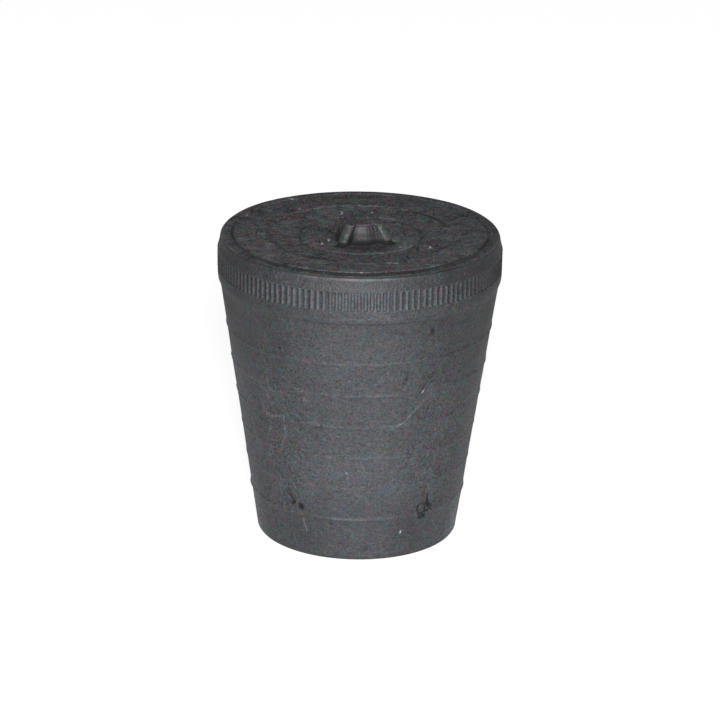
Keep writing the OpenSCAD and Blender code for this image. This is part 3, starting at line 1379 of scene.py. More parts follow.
        # Painted shade darkens the colour towards the deep black.
        unshaded = graph.math("SUBTRACT", 1.0, painted_shade)
        bloom_and_light = self.tinted(graph, place, top, coarse)
        bare = graph.mix(graph.within(graph.weighted(tone, unshaded)), self.deep, bloom_and_light)
        colour = graph.mix(graph.within(graph.math("SUBTRACT", tone, 1.0)), bare, self.crumb)
        rough = graph.total(
            self.roughness,
            graph.swing(noises[self.patchy], self.patchy_rough),
            graph.swing(noises[self.fine], self.fine_rough),
            graph.weighted(painted_shade, self.shade_rough),
            graph.weighted(polish, self.polish_rough),
        )
        relief = graph.total(
            *(graph.weighted(noises[grain], grain.relief) for grain in reversed(noises) if grain.relief),
            graph.weighted(pores, self.pores.relief),
            graph.weighted(flecks, self.flecks.relief),
            graph.weighted(marks, self.mark_relief),
            graph.weighted(dust, self.dust_relief),
        )
        bump = graph.node("ShaderNodeBump")
        bump.inputs["Distance"].default_value = MM
        graph.feed(bump.inputs["Height"], graph.weighted(relief, calm))
        shader = graph.node("ShaderNodeBsdfPrincipled")
        shader.inputs["Specular IOR Level"].default_value = self.specular
        graph.feed(shader.inputs["Base Color"], colour)
        graph.feed(shader.inputs["Roughness"], rough)
        graph.feed(shader.inputs["Normal"], bump.outputs["Normal"])
        graph.feed(graph.node("ShaderNodeOutputMaterial").inputs["Surface"], shader.outputs["BSDF"])
        return material


@dataclass(frozen=True)
class Wear:
    """What use has done to the shape: waviness, small dents and pits, never past the CAD box."""

    radius: float
    top_z: float
    waves: tuple[tuple[Lumps, float], ...] = (
        (Lumps(seed=1, size=8), 0.035), (Lumps(seed=2, size=2.6), 0.014), (Lumps(seed=3, size=1.1), 0.006),
    )
    wave_start: Pair = (0.2, 2.2)
    clear: float = 0.005
    full_depth: float = 0.4
    most_pit_shade: float = 1.2
    edge: Lumps = Lumps(seed=31, size=0.5)
    edge_wander: float = 0.3
    pits: tuple[Pit, ...] = (
        Pit((-37.4, 11.9), (-35.6, 11.2), 0.55, 0.42),
        Pit((-35.6, 11.2), (-34.8, 10.6), 0.55, 0.4),
        Pit((-34.8, 10.6), (-36.5, 10.0), 0.5, 0.36),
        Pit((-31.0, 10.0), (-31.0, 9.7), 1.15, 0.55),
        Pit((39.7, 12.0), (40.1, 10.4), 0.5, 0.45),
        Pit((40.1, 10.4), (41.0, 9.7), 0.75, 0.55),
        Pit((41.0, 9.7), (43.3, 9.0), 0.8, 0.58),
        Pit((43.3, 9.0), (42.6, 8.5), 0.75, 0.55),
        Pit((42.6, 8.5), (38.9, 8.45), 0.75, 0.6),
        Pit((38.9, 8.45), (35.6, 8.2), 0.65, 0.52),
        Pit((38.8, 9.8), (39.3, 8.8), 0.5, 0.45),
        Pit((35.4, 10.3), (34.1, 9.6), 0.5, 0.38),
        Pit((34.1, 9.6), (34.6, 8.8), 0.5, 0.38),
        Pit((35.4, 10.3), (38.8, 10.2), 0.4, 0.22),
        Pit((36.4, 7.5), (37.2, 7.4), 0.6, 0.45),
        Pit((38.2, 7.6), (39.3, 7.7), 0.75, 0.6),
        Pit((-14.7, 7.3), (-13.3, 7.3), 0.6, 0.2),
        Pit((5.5, 2.6), (5.5, 2.4), 0.75, 0.25),
        Pit((3.4, 2.1), (5.0, 2.1), 0.6, 0.15),
        Pit((5.8, 46.2), (5.8, 46.2), 0.6, 0.2),
        Pit((31.5, 45.7), (31.6, 45.4), 0.75, 0.4),
        Pit((-35.5, 41.7), (-35.4, 41.5), 0.6, 0.38),
        Pit((-16.9, 27.0), (-16.5, 26.5), 0.6, 0.3),
        Pit((-6.4, 13.4), (-4.4, 13.4), 0.6, 0.12),
        Pit((127.0, 8.5), (129.0, 9.5), 1.0, 0.35),
        Pit((-118.0, 16.5), (-118.0, 16.5), 0.85, 0.25),
        Pit((172.0, 36.0), (172.0, 36.0), 0.75, 0.22),
    )

    def moved(self, points: Array, normals: Array) -> Array:
        """The points after wear, which keeps them inside the CAD box and off the floor.

        Args:
            points: Points in millimetres.
            normals: The way that the skin faces at each.

        Returns:
            The moved points.
        """
        wave = sum(reach * lumps.at(points) for lumps, reach in self.waves)
        wave *= rise(points[:, 2], *self.wave_start)
        uneven = self.ragged(points)
        for pit in self.pits:
            wave -= pit.depth * pit.share(points, uneven)
        worn_and_highlit = points + normals * wave[:, None]
        radius = np.hypot(worn_and_highlit[:, 0], worn_and_highlit[:, 1])
        limit = np.minimum(1, (self.radius - self.clear) / np.maximum(radius, 1))
        worn_and_highlit[:, :2] *= limit[:, None]
        worn_and_highlit[:, 2] = np.clip(worn_and_highlit[:, 2], 0, self.top_z)
        return worn_and_highlit

    def dirt(self, points: Array) -> Array:
        """How dark the painted shade in the pits is at each point, from 0 to 1: darker in the deeper ones.

        Args:
            points: Points in millimetres.

        Returns:
            A number for each point.
        """
        uneven = self.ragged(points)
        darkness = [min(self.most_pit_shade, (pit.depth / self.full_depth) ** 1.5) for pit in self.pits]
        return np.max([pit.share(points, uneven) * dark for pit, dark in zip(self.pits, darkness)], axis=0)

    def ragged(self, points: Array) -> Array:
        """How much the edges of the pits wander in and out at each point, about 1."""
        return 1 + self.edge_wander * self.edge.at(points)


class Places:
    """The points of the skin before wear, and how each lies on the stopper."""

    def __init__(self, points: Array, nooks: Array, face: Face) -> None:
        """Works out where each point lies.

        Args:
            points: The points, in millimetres.
            nooks: How much painted shade each has, below 0 where it has a painted highlight.
            face: The round top, which some of them lie on.
        """
        self.points = points
        self.nooks = nooks
        self.z = points[:, 2]
        self.radius = np.hypot(points[:, 0], points[:, 1])
        self.azimuth = azimuths_of(points)
        self.turn = np.abs(self.azimuth)
        self.top = face.share(self.radius, self.z)
        self.flat = self.top * (self.z < face.flat_end)

    def arc(self, middle: float, half: float, fade: float = 12.0) -> Array:
        """1 about some azimuth, which fades at half a stretch to each side of it."""
        return rise(np.abs(apart(self.azimuth, middle)), half + fade / 2, half - fade / 2)

    def off(self, middle: Pair) -> Array:
        """The points as seen from an upright line through some x and y."""
        return self.points - [*middle, 0]


@dataclass(frozen=True)
class ShadedRing:
    """A groove or a step of the top with painted shade in it, darker along some arcs."""

    radius: float
    width: float
    least: float
    more: float
    arcs: Table

    def at(self, places: Places) -> Array:
        """How dark the painted shade is at each place, from 0 to 1.

        Args:
            places: The skin's points.

        Returns:
            A number for each point.
        """
        along = np.max([places.arc(*arc) for arc in self.arcs], axis=0)
        line = places.flat * hump(places.radius, self.radius, self.width)
        return line * (self.least + self.more * along)


@dataclass(frozen=True)
class PaintedShade:
    """Painted shade in the stopper's grooves, corners, pits and knurl valleys, by its ring lines and about
    its boss.
    """

    plug: Plug
    collar: Collar
    face: Face
    boss: Boss
    wear: Wear
    patches: Lumps = Lumps(seed=81, size=3.5)
    floor_h: float = 0.05
    # Painted shade on the pad round the boss's foot, darker in front of it, and low on the boss.
    halo: float = 0.4
    halo_gap: Pair = (2.2, 0.6)
    front: float = 0.5
    front_arc: Pair = (15, 36)
    front_radius: Pair = (9.6, 8.4)
    foot_arc: Pair = (8, 75)
    foot_more: float = 0.3
    foot_gap: Pair = (0.75, 0.35)
    base_h: Pair = (0.3, -0.05)
    skirt: float = 0.25
    skirt_h: float = 0.2
    corner_z: Pair = (58.9, 56.5)
    dimple: float = 0.8
    dimple_radius: Pair = (1.5, 0.7)
    dimple_z: float = 58.0
    crease: float = 0.3
    crease_w: float = 0.2
    crease_arc: Pair = (0, 24)
    over_ring_h: float = 0.36
    over_ring_w: float = 0.26
    left_side: Pair = (-30, -40)
    right_side: Pair = (30, 40)
    right_fade: Pair = (60, 68)
    valley_edge: float = 0.15
    lit_front: Pair = (7, 17)
    wide_left: Pair = (-26, -38)
    far_left: Pair = (-80, -64)
    far_right: Pair = (66, 50)
    flank: float = 0.5
    flank_off: Pair = (0.325, 0.075)
    valley_strengths: Table = (
        (10, 0.7), (25, 0.66), (35, 0.8), (45, 0.88), (55, 1.0),
    )

    def rings(self) -> tuple[ShadedRing, ...]:
        """The shaded grooves of the top, and the step down into its recess.

        Returns:
            The three rings.
        """
        return (
            ShadedRing(self.face.groove_r, width=0.3, least=0.35, more=0.6, arcs=((-62, 40), (45, 40))),
            ShadedRing(self.face.recess_r - 0.3, width=0.28, least=0.35, more=0.6, arcs=((128, 20),)),
            ShadedRing(self.face.pad_r, width=0.35, least=0.2, more=0.65, arcs=((108, 36), (-112, 40))),
        )

    def pad_floor(self, places: Places) -> Array:
        """1 on the pad and the recess round it, and 0 on the boss and higher up."""
        return places.flat * (places.z < self.face.pad_z + self.floor_h)

    def on_pad(self, places: Places, gap: Array) -> list[Array]:
        """Painted shade on the pad.

        Args:
            places: The skin's points.
            gap: How far outside the boss's foot each lies.

        Returns:
            How dark the painted shade about the boss is, and that in front of it.
        """
        low = self.pad_floor(places)
        about = self.halo * rise(gap, *self.halo_gap)
        before = self.front * places.arc(*self.front_arc) * rise(places.radius, *self.front_radius)
        return [low * about, low * before]

    def on_boss(self, places: Places, gap: Array) -> list[Array]:
        """Painted shade at the boss's foot and on the boss.

        Args:
            places: The skin's points.
            gap: How far outside the boss's foot each lies.

        Returns:
            How dark it is on the pad at the boss's foot, low on the boss, below its waist and
            in its corners.
        """
        pad_z = self.face.pad_z
        more = self.foot_more * places.arc(*self.foot_arc)
        foot = self.pad_floor(places) * rise(gap, more + self.foot_gap[0], more + self.foot_gap[1])
        boss = places.top * (gap < 0.1)
        base = boss * rise(places.z - pad_z, more + self.base_h[0], more + self.base_h[1])
        waist_z = pad_z + self.boss.waist_h
        skirt = self.skirt * boss * rise(places.z, waist_z, waist_z - self.skirt_h)
        # Painted shade in the boss's corners and on its facets, darker low down.
        corners = np.maximum(places.nooks, 0) * (0.5 + 0.5 * rise(places.z, *self.corner_z))
        return [foot, base, skirt, corners]

    def in_dimple(self, places: Places) -> Array:
        """How dark the painted shade in the boss's dimple is at each place."""
        out = np.linalg.norm(places.off(self.boss.middle())[:, :2], axis=1)
        return self.dimple * rise(out, *self.dimple_radius) * (places.z > self.dimple_z)

    def in_crease(self, places: Places) -> Array:
        """How dark the painted shade in the crease below the collar's lip is at each place."""
        line = hump(places.z, self.collar.crease_z, self.crease_w) * places.arc(*self.crease_arc)
        return self.crease * line * (places.radius > places.radius.max() - 2)

    def over_rings(self, places: Places) -> Array:
        """How dark the painted shade is just above each ring line, to the left and right of the front.

        Args:
            places: The skin's points.

        Returns:
            A number for each point.
        """
        azimuth = places.azimuth
        left = rise(azimuth, *self.left_side)
        right = rise(azimuth, *self.right_side) * (1 - 0.8 * rise(azimuth, *self.right_fade))
        lines = [
            hump(places.z, height + self.over_ring_h, self.over_ring_w) * (on_left * left + on_right * right)
            for height, (on_left, on_right) in zip(self.plug.ring_heights(), self.plug.ring_shades)
        ]
        return np.max(lines, axis=0) * (places.radius > self.plug.just_inside(places.z))

    def in_valleys(self, places: Places) -> Array:
        """Painted shade in the knurl's valleys, weaker on their floors at the front.

        Args:
            places: The skin's points.

        Returns:
            How dark it is at each place: on the floors of the valleys at the sides, and on
            their flanks at the front.
        """
        low = self.collar.knurl_z
        high = self.collar.knurl_top()
        azimuth = places.azimuth
        inside = rise(places.z, low, low + self.valley_edge) * rise(places.z, high, high - self.valley_edge)
        front = rise(places.turn, *self.lit_front)
        wide = 0.12 * rise(azimuth, *self.wide_left)
        reach = rise(azimuth, *self.far_left) * rise(azimuth, *self.far_right)
        depth = self.collar.valley(azimuth)
        floors = front * (0.2 + 0.8 * reach) * rise(depth, 0.3 - wide, 0.75 - wide)
        flanks = self.flank * (1 - front) * rise(np.abs(depth - 0.5), *self.flank_off)
        return inside * (read_off(self.valley_strengths, places.turn) * floors + flanks)

    def at(self, places: Places) -> Array:
        """How dark the painted shade is at each place, from 0 to 1.

        Args:
            places: The skin's points.

        Returns:
            The darkest painted shade of any kind there.
        """
        gap = self.boss.gap(places.points)
        rings = [ring.at(places) for ring in self.rings()]
        lines = [self.in_dimple(places), self.in_crease(places), self.over_rings(places)]
        uneven = 0.7 + 0.6 * self.patches.at(places.points)
        patchy_shade = np.max([*rings, *self.on_pad(places, gap), *lines], axis=0) * uneven
        even_shade = [*self.on_boss(places, gap), self.wear.dirt(places.points), self.in_valleys(places)]
        return np.clip(np.max([patchy_shade, *even_shade], axis=0), 0, 1)


@dataclass(frozen=True)
class Crest:
    """A painted highlight along an edge: where it is, its width, how light it is and how far it reaches."""

    at: float
    width: float
    level: float
    reach: float

    def share(self, value: Array, turn: Array) -> Array:
        """How strong the painted highlight is.

        Args:
            value: Each point's height, or its radius for an edge of the top.
            turn: How far round from the front each point lies.

        Returns:
            A number for each point, 0 well away from the edge.
        """
        fade = 7
        along = rise(turn, self.reach + fade, self.reach - fade)
        return self.level * hump(value, self.at, self.width) * along


@dataclass(frozen=True)
class HighlightsAndPolish:
    """Painted highlights on edges and crests that stand out, and where the rubber is rubbed smooth."""

    plug: Plug
    collar: Collar
    face: Face
    boss: Boss
    patches: Lumps = Lumps(seed=82, size=1.6)
    side_end: float = 56.9
    end_turn: Pair = (8, 22)
    low_ring: float = 0.32
    low_ring_turn: Pair = (25, 45)
    rib_z: Pair = (58.7, 57.4)
    glint: float = 1.1
    glint_azimuth: Pair = (-6, 8)
    glint_z: Pair = (58.6, 0.42)
    first_ring: float = 1.8
    first_ring_w: float = 0.2
    first_ring_middle: float = -4.0
    first_ring_off: Pair = (12, 7)
    most: float = 3.0
    smooth_band: float = 0.55
    smooth_turn: Pair = (38, 30)
    smooth_boss: float = 0.7
    boss_radius: float = 8.0

    def outside(self, places: Places) -> Array:
        """1 on the side of the stopper, and 0 on its top and its foot."""
        return (places.radius > self.plug.just_inside(places.z)) * (places.z < self.side_end)

    def on_side(self, places: Places) -> Array:
        """Painted highlights on the rim, the lip, the knurl's ends and the ring lines.

        Args:
            places: The skin's points.

        Returns:
            A number for each point, 0 on the top.
        """
        z = places.z
        turn = places.turn
        collar = self.collar
        rim = Crest(collar.rim_z - 0.62, width=0.24, level=3.0, reach=20).share(z, turn)
        rim *= places.radius > collar.radius - 1
        lip = Crest(collar.lip_z, width=0.6, level=0.25, reach=24).share(z, turn)
        ends = Crest(collar.knurl_z + 0.3, width=0.2, level=1.0, reach=52).share(z, turn)
        ends += Crest(collar.knurl_top() - 0.25, width=0.25, level=1.0, reach=52).share(z, turn)
        ends *= (1 - collar.valley(places.azimuth)) * (0.45 + 0.35 * rise(turn, *self.end_turn))
        low = self.low_ring * rise(turn, *self.low_ring_turn)
        lines = []
        for height, shine in zip(self.plug.ring_heights(), self.plug.ring_shines):
            wide = Crest(height - 0.03, width=0.24, level=0.42, reach=170).share(z + low, turn)
            front = Crest(height - 0.03, width=0.2, level=shine, reach=17).share(z, turn)
            lines.append(wide + front)
        return self.outside(places) * np.max([rim, lip, ends, *lines], axis=0)

    def on_top(self, places: Places) -> Array:
        """Painted highlights on the shoulders of the pad and of the recess.

        Args:
            places: The skin's points.

        Returns:
            A number for each point.
        """
        shoulder = Crest(self.face.pad_r - 0.45, width=0.2, level=0.45, reach=34)
        ledge = Crest(self.face.recess_r + 0.1, width=0.2, level=0.4, reach=40)
        rubs = [edge.share(places.radius, places.turn) for edge in (shoulder, ledge)]
        return places.flat * np.max(rubs, axis=0)

    def on_boss(self, places: Places) -> Array:
        """Painted highlights on the boss.

        Args:
            places: The skin's points.

        Returns:
            A number for each point: along the ribs' edges, and on the facet that faces front.
        """
        z = places.z
        above = z > self.face.pad_z + 0.2
        ribs = np.maximum(-places.nooks, 0) * (0.3 + 1.2 * rise(z, *self.rib_z)) * above
        about = azimuths_of(places.off(self.boss.middle()))
        facet = self.glint * hump(about, *self.glint_azimuth) * hump(z, *self.glint_z)
        return np.maximum(ribs, facet * (places.radius < 6) * (places.nooks < 0.5))

    def light(self, places: Places) -> Array:
        """How strong the painted highlight is at each place, from 0.

        Args:
            places: The skin's points.

        Returns:
            A number for each point, patchy but for the bright front of the lowest ring line.
        """
        uneven = 0.6 + 0.8 * self.patches.at(places.points)
        rubs = np.max([self.on_side(places), self.on_top(places), self.on_boss(places)], axis=0) * uneven
        line = self.outside(places) * hump(places.z, self.plug.ring_first, self.first_ring_w)
        off = np.abs(places.azimuth - self.first_ring_middle)
        first = self.first_ring * line * rise(off, *self.first_ring_off)
        return np.clip(np.maximum(rubs, first), 0, self.most)

    def smooth(self, places: Places) -> Array:
        """How smooth the rubber is rubbed, on the front of the band and on the boss.

        Args:
            places: The skin's points.

        Returns:
            A number from 0 to 1 for each point.
        """
        z = places.z
        start = self.collar.knurl_top()
        band = rise(z, start, start + 0.2) * (places.radius > self.collar.radius - 1.5)
        band *= self.smooth_band * rise(places.turn, *self.smooth_turn)
        boss = rise(z, self.face.pad_z, self.face.pad_z + 0.3) * (places.radius < self.boss_radius)
        boss *= self.smooth_boss * rise(z, self.boss.top_z - 0.1, self.boss.top_z - 0.5)
        return np.maximum(band, boss)


@dataclass(frozen=True)
class Patch:
    """A stretch of the taper with painted light, or painted shade where its level is below 0, which fades in
    over some heights and turns.

    Each pair goes from where the patch starts to where it is full. A turn is the distance
    round from the front.
    """

    level: float
    heights: Table = ()
    turns: Table = ()

    def at(self, places: Places) -> Array:
        """How much the patch adds to the tone at each place.

        Args:
            places: The skin's points.

        Returns:
            A number for each point.
        """
        fades = [rise(places.z, *pair) for pair in self.heights]
        fades += [rise(places.turn, *pair) for pair in self.turns]
        return self.level * np.prod(fades, axis=0)


@dataclass(frozen=True)
class Stripe:
    """A level stripe round the side with a painted highlight, or painted shade where its level is below 0,
    which fades in over some turns.
    """

    level: float
    height: float
    width: float
    turns: Pair

    def at(self, places: Places) -> Array:
        """How much the stripe adds to the tone at each place."""
        return self.level * hump(places.z, self.height, self.width) * rise(places.turn, *self.turns)


@dataclass(frozen=True)
class PaintedLightAndBloom:
    """How much paler or darker each stretch of the rubber is, mostly painted light and shade that fall off
    from the front, and how coarse its grain is.
    """

    collar: Collar
    face: Face
    boss: Boss
    # Painted shade towards the sides of the taper.
    taper_shades: Table = (
        (10, 0), (30, -0.06), (50, -0.065), (62, -0.06), (80, 0),
    )
    # Painted shade on parts of the sides, and painted reflected light low on the far sides.
    patches: tuple[Patch, ...] = (
        Patch(-0.045, heights=((14, 10),), turns=((70, 40),)),
        Patch(-0.09, heights=((32, 40),), turns=((20, 40),)),
        Patch(-0.03, heights=((43, 46),)),
        Patch(-0.03, heights=((20, 24), (47, 44)), turns=((44, 54),)),
        Patch(-0.03, heights=((8.4, 7.6),), turns=((14, 22), (48, 40))),
        Patch(0.16, heights=((16, 8),), turns=((60, 75),)),
    )
    # Painted reflected light low on the far sides of the taper, and painted shade high on them.
    limb_shades: Table = (
        (2, 0.23), (6, 0.13), (11, 0.04), (18, 0.07), (30, 0.06), (36, 0.03), (42.5, -0.11), (46.5, -0.17),
    )
    # Painted light and shade by azimuth on the strip, the knurl and the band: lighter in front, darker to the
    # sides.
    strip_shades: Table = (
        (-70, -0.21), (-60, -0.26), (-50, -0.2), (-40, -0.155), (-20, -0.11), (-10, -0.03),
        (0, 0.01), (10, 0.01), (20, -0.09), (40, -0.09), (50, -0.15), (60, -0.2),
    )
    knurl_shades: Table = (
        (-70, -0.23), (-60, -0.18), (-50, -0.1), (-40, 0.01), (-30, 0.14), (-20, 0.19),
        (-10, 0.21), (0, 0.165), (20, 0.22), (30, 0.12), (40, -0.05), (50, -0.16), (70, -0.3),
    )
    band_shades: Table = (
        (-70, -0.3), (-60, -0.28), (-50, -0.23), (-40, -0.18), (-33, -0.155), (-20, -0.15),
        (-10, -0.15), (0, -0.15), (10, -0.175), (20, -0.2), (34, -0.19), (36, -0.24),
        (50, -0.24), (60, -0.28), (70, -0.3),
    )
    # Painted light: the web is paler towards the front and darker towards the back.
    web_shades: Table = (
        (0, 0.09), (30, 0.125), (60, 0.095), (90, 0.04), (120, -0.02), (150, -0.045), (180, -0.065),
    )
    taper_stripe: Stripe = Stripe(0.03, height=18, width=4, turns=(60, 30))
    # Painted shade on the sides of the strip, and a painted highlight below the lip in front.
    strip_stripes: tuple[Stripe, ...] = (
        Stripe(-0.03, height=49.4, width=0.5, turns=(20, 40)),
        Stripe(0.055, height=48.55, width=0.33, turns=(40, 20)),
    )
    # A painted highlight on the faint bead at the band's foot, in front.
    band_stripe: Stripe = Stripe(0.08, height=54.15, width=0.24, turns=(16, 8))
    limb_turn: Pair = (58, 71)
    full_strip: Pair = (47.8, 48.2)
    soft: float = 0.15
    rim: float = -0.04
    rim_front: float = -0.12
    rim_front_turn: Pair = (80, 20)
    rim_right: float = -0.03
    rim_bumps: tuple[Triple, ...] = ((-105, 22, 0.055), (-150, 18, -0.07))
    recess: float = 0.02
    pad: float = 0.03
    pad_sides: Patch = Patch(0.05, turns=((35, 55), (85, 65)))
    pad_bump: Triple = (72, 22, 0.06)
    boss_radius: float = 8.0
    crown: float = -0.03
    facets: float = -0.17
    # Extra grain at the sides, partly painted shading of the relief.
    side_grain: float = 0.9
    side_grain_turn: Pair = (12, 47)
    knurl_grain: float = 0.35
    top_grain: float = 1.12

    def on_taper(self, places: Places) -> Array:
        """How much paler or darker the taper is at each place: painted shade towards its sides, and painted
        reflected light low on its far sides.

        Args:
            places: The skin's points.

        Returns:
            A number for each point.
        """
        bloom_and_light = read_off(self.taper_shades, places.turn)
        bloom_and_light += self.taper_stripe.at(places)
        bloom_and_light += sum(patch.at(places) for patch in self.patches)
        return bloom_and_light + read_off(self.limb_shades, places.z) * rise(places.turn, *self.limb_turn)

    def on_side(self, places: Places) -> Array:
        """How much paler or darker the side is, with painted light and shade that fall off from the front to
        the sides.

        Args:
            places: The skin's points.

        Returns:
            A number for each point, which changes from the taper to the strip, to the knurl
            and to the band.
        """
        z = places.z
        knurl_z = self.collar.knurl_z
        knurl_top = self.collar.knurl_top()
        strip = read_off(self.strip_shades, places.azimuth)
        strip += sum(stripe.at(places) for stripe in self.strip_stripes)
        knurl = read_off(self.knurl_shades, places.azimuth)
        band = read_off(self.band_shades, places.azimuth) + self.band_stripe.at(places)
        side = self.on_taper(places)
        side += rise(z, *self.full_strip) * (strip - side)
        side += rise(z, knurl_z, knurl_z + self.soft) * (knurl - side)
        return side + rise(z, knurl_top, knurl_top + self.soft) * (band - side)

    def on_top(self, places: Places) -> Array:
        """How much paler or darker the top is.

        Args:
            places: The skin's points.

        Returns:
            A number for each point: for the boss, the pad, the recess, the web and the rim.
        """
        face = self.face
        azimuth = places.azimuth
        rim = self.rim + self.rim_front * rise(places.turn, *self.rim_front_turn)
        rim += self.rim_right * np.sin(np.radians(azimuth))
        rim += sum(level * hump(azimuth, at, width) for at, width, level in self.rim_bumps)
        at, width, level = self.pad_bump
        pad = self.pad + self.pad_sides.at(places) + level * hump(azimuth, at, width)
        web = read_off(self.web_shades, places.turn)
        hub = np.where(places.z > self.boss.top_z - 0.3, self.crown, self.facets)
        boss = (places.radius < self.boss_radius) & (places.z > face.pad_z + 0.2)
        inside = [boss, *(places.radius < edge for edge in (face.pad_r, face.recess_r, face.groove_r))]
        return np.select(inside, [hub, pad, self.recess, web], rim)

    def pale(self, places: Places) -> Array:
        """How much paler each place is than the plain rubber, below 0 where it is darker: mostly painted
        light and shade.
        """
        side = self.on_side(places)
        return side + places.top * (self.on_top(places) - side)

    def coarse(self, places: Places) -> Array:
        """How strong the grain is: weaker on the knurl, and stronger at the sides than in front, which is
        partly painted shading of the relief under light that grazes the sides.

        Args:
            places: The skin's points.

        Returns:
            A number for each point.
        """
        half = self.collar.knurl_h / 2
        from_middle = np.abs(places.z - self.collar.knurl_z - half)
        side = 1 + self.side_grain * rise(places.turn, *self.side_grain_turn)
        side *= 1 - self.knurl_grain * rise(from_middle, half, half - 0.3)
        return side + places.top * (self.top_grain - side)


@dataclass(frozen=True)
class Stopper:
    """The whole stopper, moulded in one piece of rubber."""

    plug: Plug
    collar: Collar
    face: Face
    boss: Boss
    wear: Wear
    atlas: Atlas
    finish: Rubber
    columns: int = 344
    fine_azimuths: tuple[float, ...] = (-34.0, 38.8)
    fine_width: float = 5.0
    fine_gain: float = 1.7

    def azimuths(self) -> Array:
        """The azimuth of each column, which are closer together at the larger pits.

        Returns:
            The azimuths in degrees, from -180 up.
        """
        turn = np.linspace(-180, 180, 3601)
        density = np.ones(len(turn))
        for azimuth in self.fine_azimuths:
            density += self.fine_gain * hump(turn, azimuth, self.fine_width)
        passed = np.concatenate([[0], np.cumsum((density[1:] + density[:-1]) / 2)])
        shares = np.arange(self.columns) / self.columns
        return np.interp(shares * passed[-1], passed, turn)

    def skin(self) -> Skin:
        """The closed skin, before wear.

        Returns:
            The skin, from the middle of the foot to the dimple.
        """
        skin = Skin((0, 0, 0))
        azimuth = self.azimuths()
        self.plug.grow(skin, azimuth)
        self.collar.grow(skin, azimuth)
        self.face.grow(skin, azimuth)
        self.boss.grow(skin)
        return skin

    def dress(self, mesh: bpy.types.Mesh, places: Places) -> None:
        """Gives the mesh what its finish is mixed by, and the finish.

        Args:
            mesh: The stopper's mesh.
            places: Its points, before wear.
        """
        dirt = PaintedShade(self.plug, self.collar, self.face, self.boss, self.wear)
        highlights_and_polish = HighlightsAndPolish(self.plug, self.collar, self.face, self.boss)
        bloom_and_light = PaintedLightAndBloom(self.collar, self.face, self.boss)
        # The first two fields hold painted shade and painted highlights, and pale holds mostly painted light
        # and shade.
        fields = {
            "painted_shade": dirt.at(places),
            "worn_and_highlit": highlights_and_polish.light(places),
            "top": places.top,
            "pale": bloom_and_light.pale(places),
            "polish": highlights_and_polish.smooth(places),
            "coarse": bloom_and_light.coarse(places),
        }
        for name, values in fields.items():
            mesh.attributes.new(name, "FLOAT", "POINT").data.foreach_set("value", values)
        mesh.materials.append(self.finish.build())

    def build(self) -> bpy.types.Object:
        """Builds, wears, lays flat and dresses the stopper.

        Returns:
            The piece, in metres, standing where the CAD solid stands.
        """
        skin = self.skin()
        points = np.concatenate(skin.points)
        mesh = bpy.data.meshes.new("moulded_stopper")
        mesh.from_pydata(points, [], skin.faces)
        normals = np.zeros(points.size)
        mesh.vertices.foreach_get("normal", normals)
        worn_and_highlit = self.wear.moved(points, normals.reshape(-1, 3))
        mesh.vertices.foreach_set("co", (worn_and_highlit * MM).ravel())
        self.dress(mesh, Places(points, np.concatenate(skin.nooks), self.face))
        self.lay_flat(mesh, points, np.concatenate(skin.runs), np.array(skin.zones))
        mesh.shade_smooth()
        mesh.update()
        piece = bpy.data.objects.new("moulded_stopper", mesh)
        bpy.context.scene.collection.objects.link(piece)
        return piece

    def lay_flat(self, mesh: bpy.types.Mesh, points: Array, runs: Array, zones: Array) -> None:
        """Gives the mesh its flat layout, which its finish can be laid out on.

        Args:
            mesh: The stopper's mesh.
            points: Its points, before wear.
            runs: How far along the outline each point lies.
            zones: The zone of each face.
        """
        corner = np.zeros(len(mesh.loops), int)
        mesh.loops.foreach_get("vertex_index", corner)
        sizes = np.zeros(len(mesh.polygons), int)
        mesh.polygons.foreach_get("loop_total", sizes)
        starts = np.concatenate([[0], np.cumsum(sizes)[:-1]])
        middles = np.add.reduceat(points[corner], starts) / sizes[:, None]
        spots = self.atlas.spots(
            points[corner], runs[corner], np.repeat(middles, sizes, axis=0), np.repeat(zones, sizes)
        )
        layer = mesh.uv_layers.new(name="OFBake")
        layer.data.foreach_set("uv", spots.ravel())


@dataclass(frozen=True)
class Lamp:
    """A soft square lamp that faces the stopper, at some azimuth and elevation from it."""

    name: str
    azimuth: float
    elevation: float
    distance: float
    side: float
    power: float


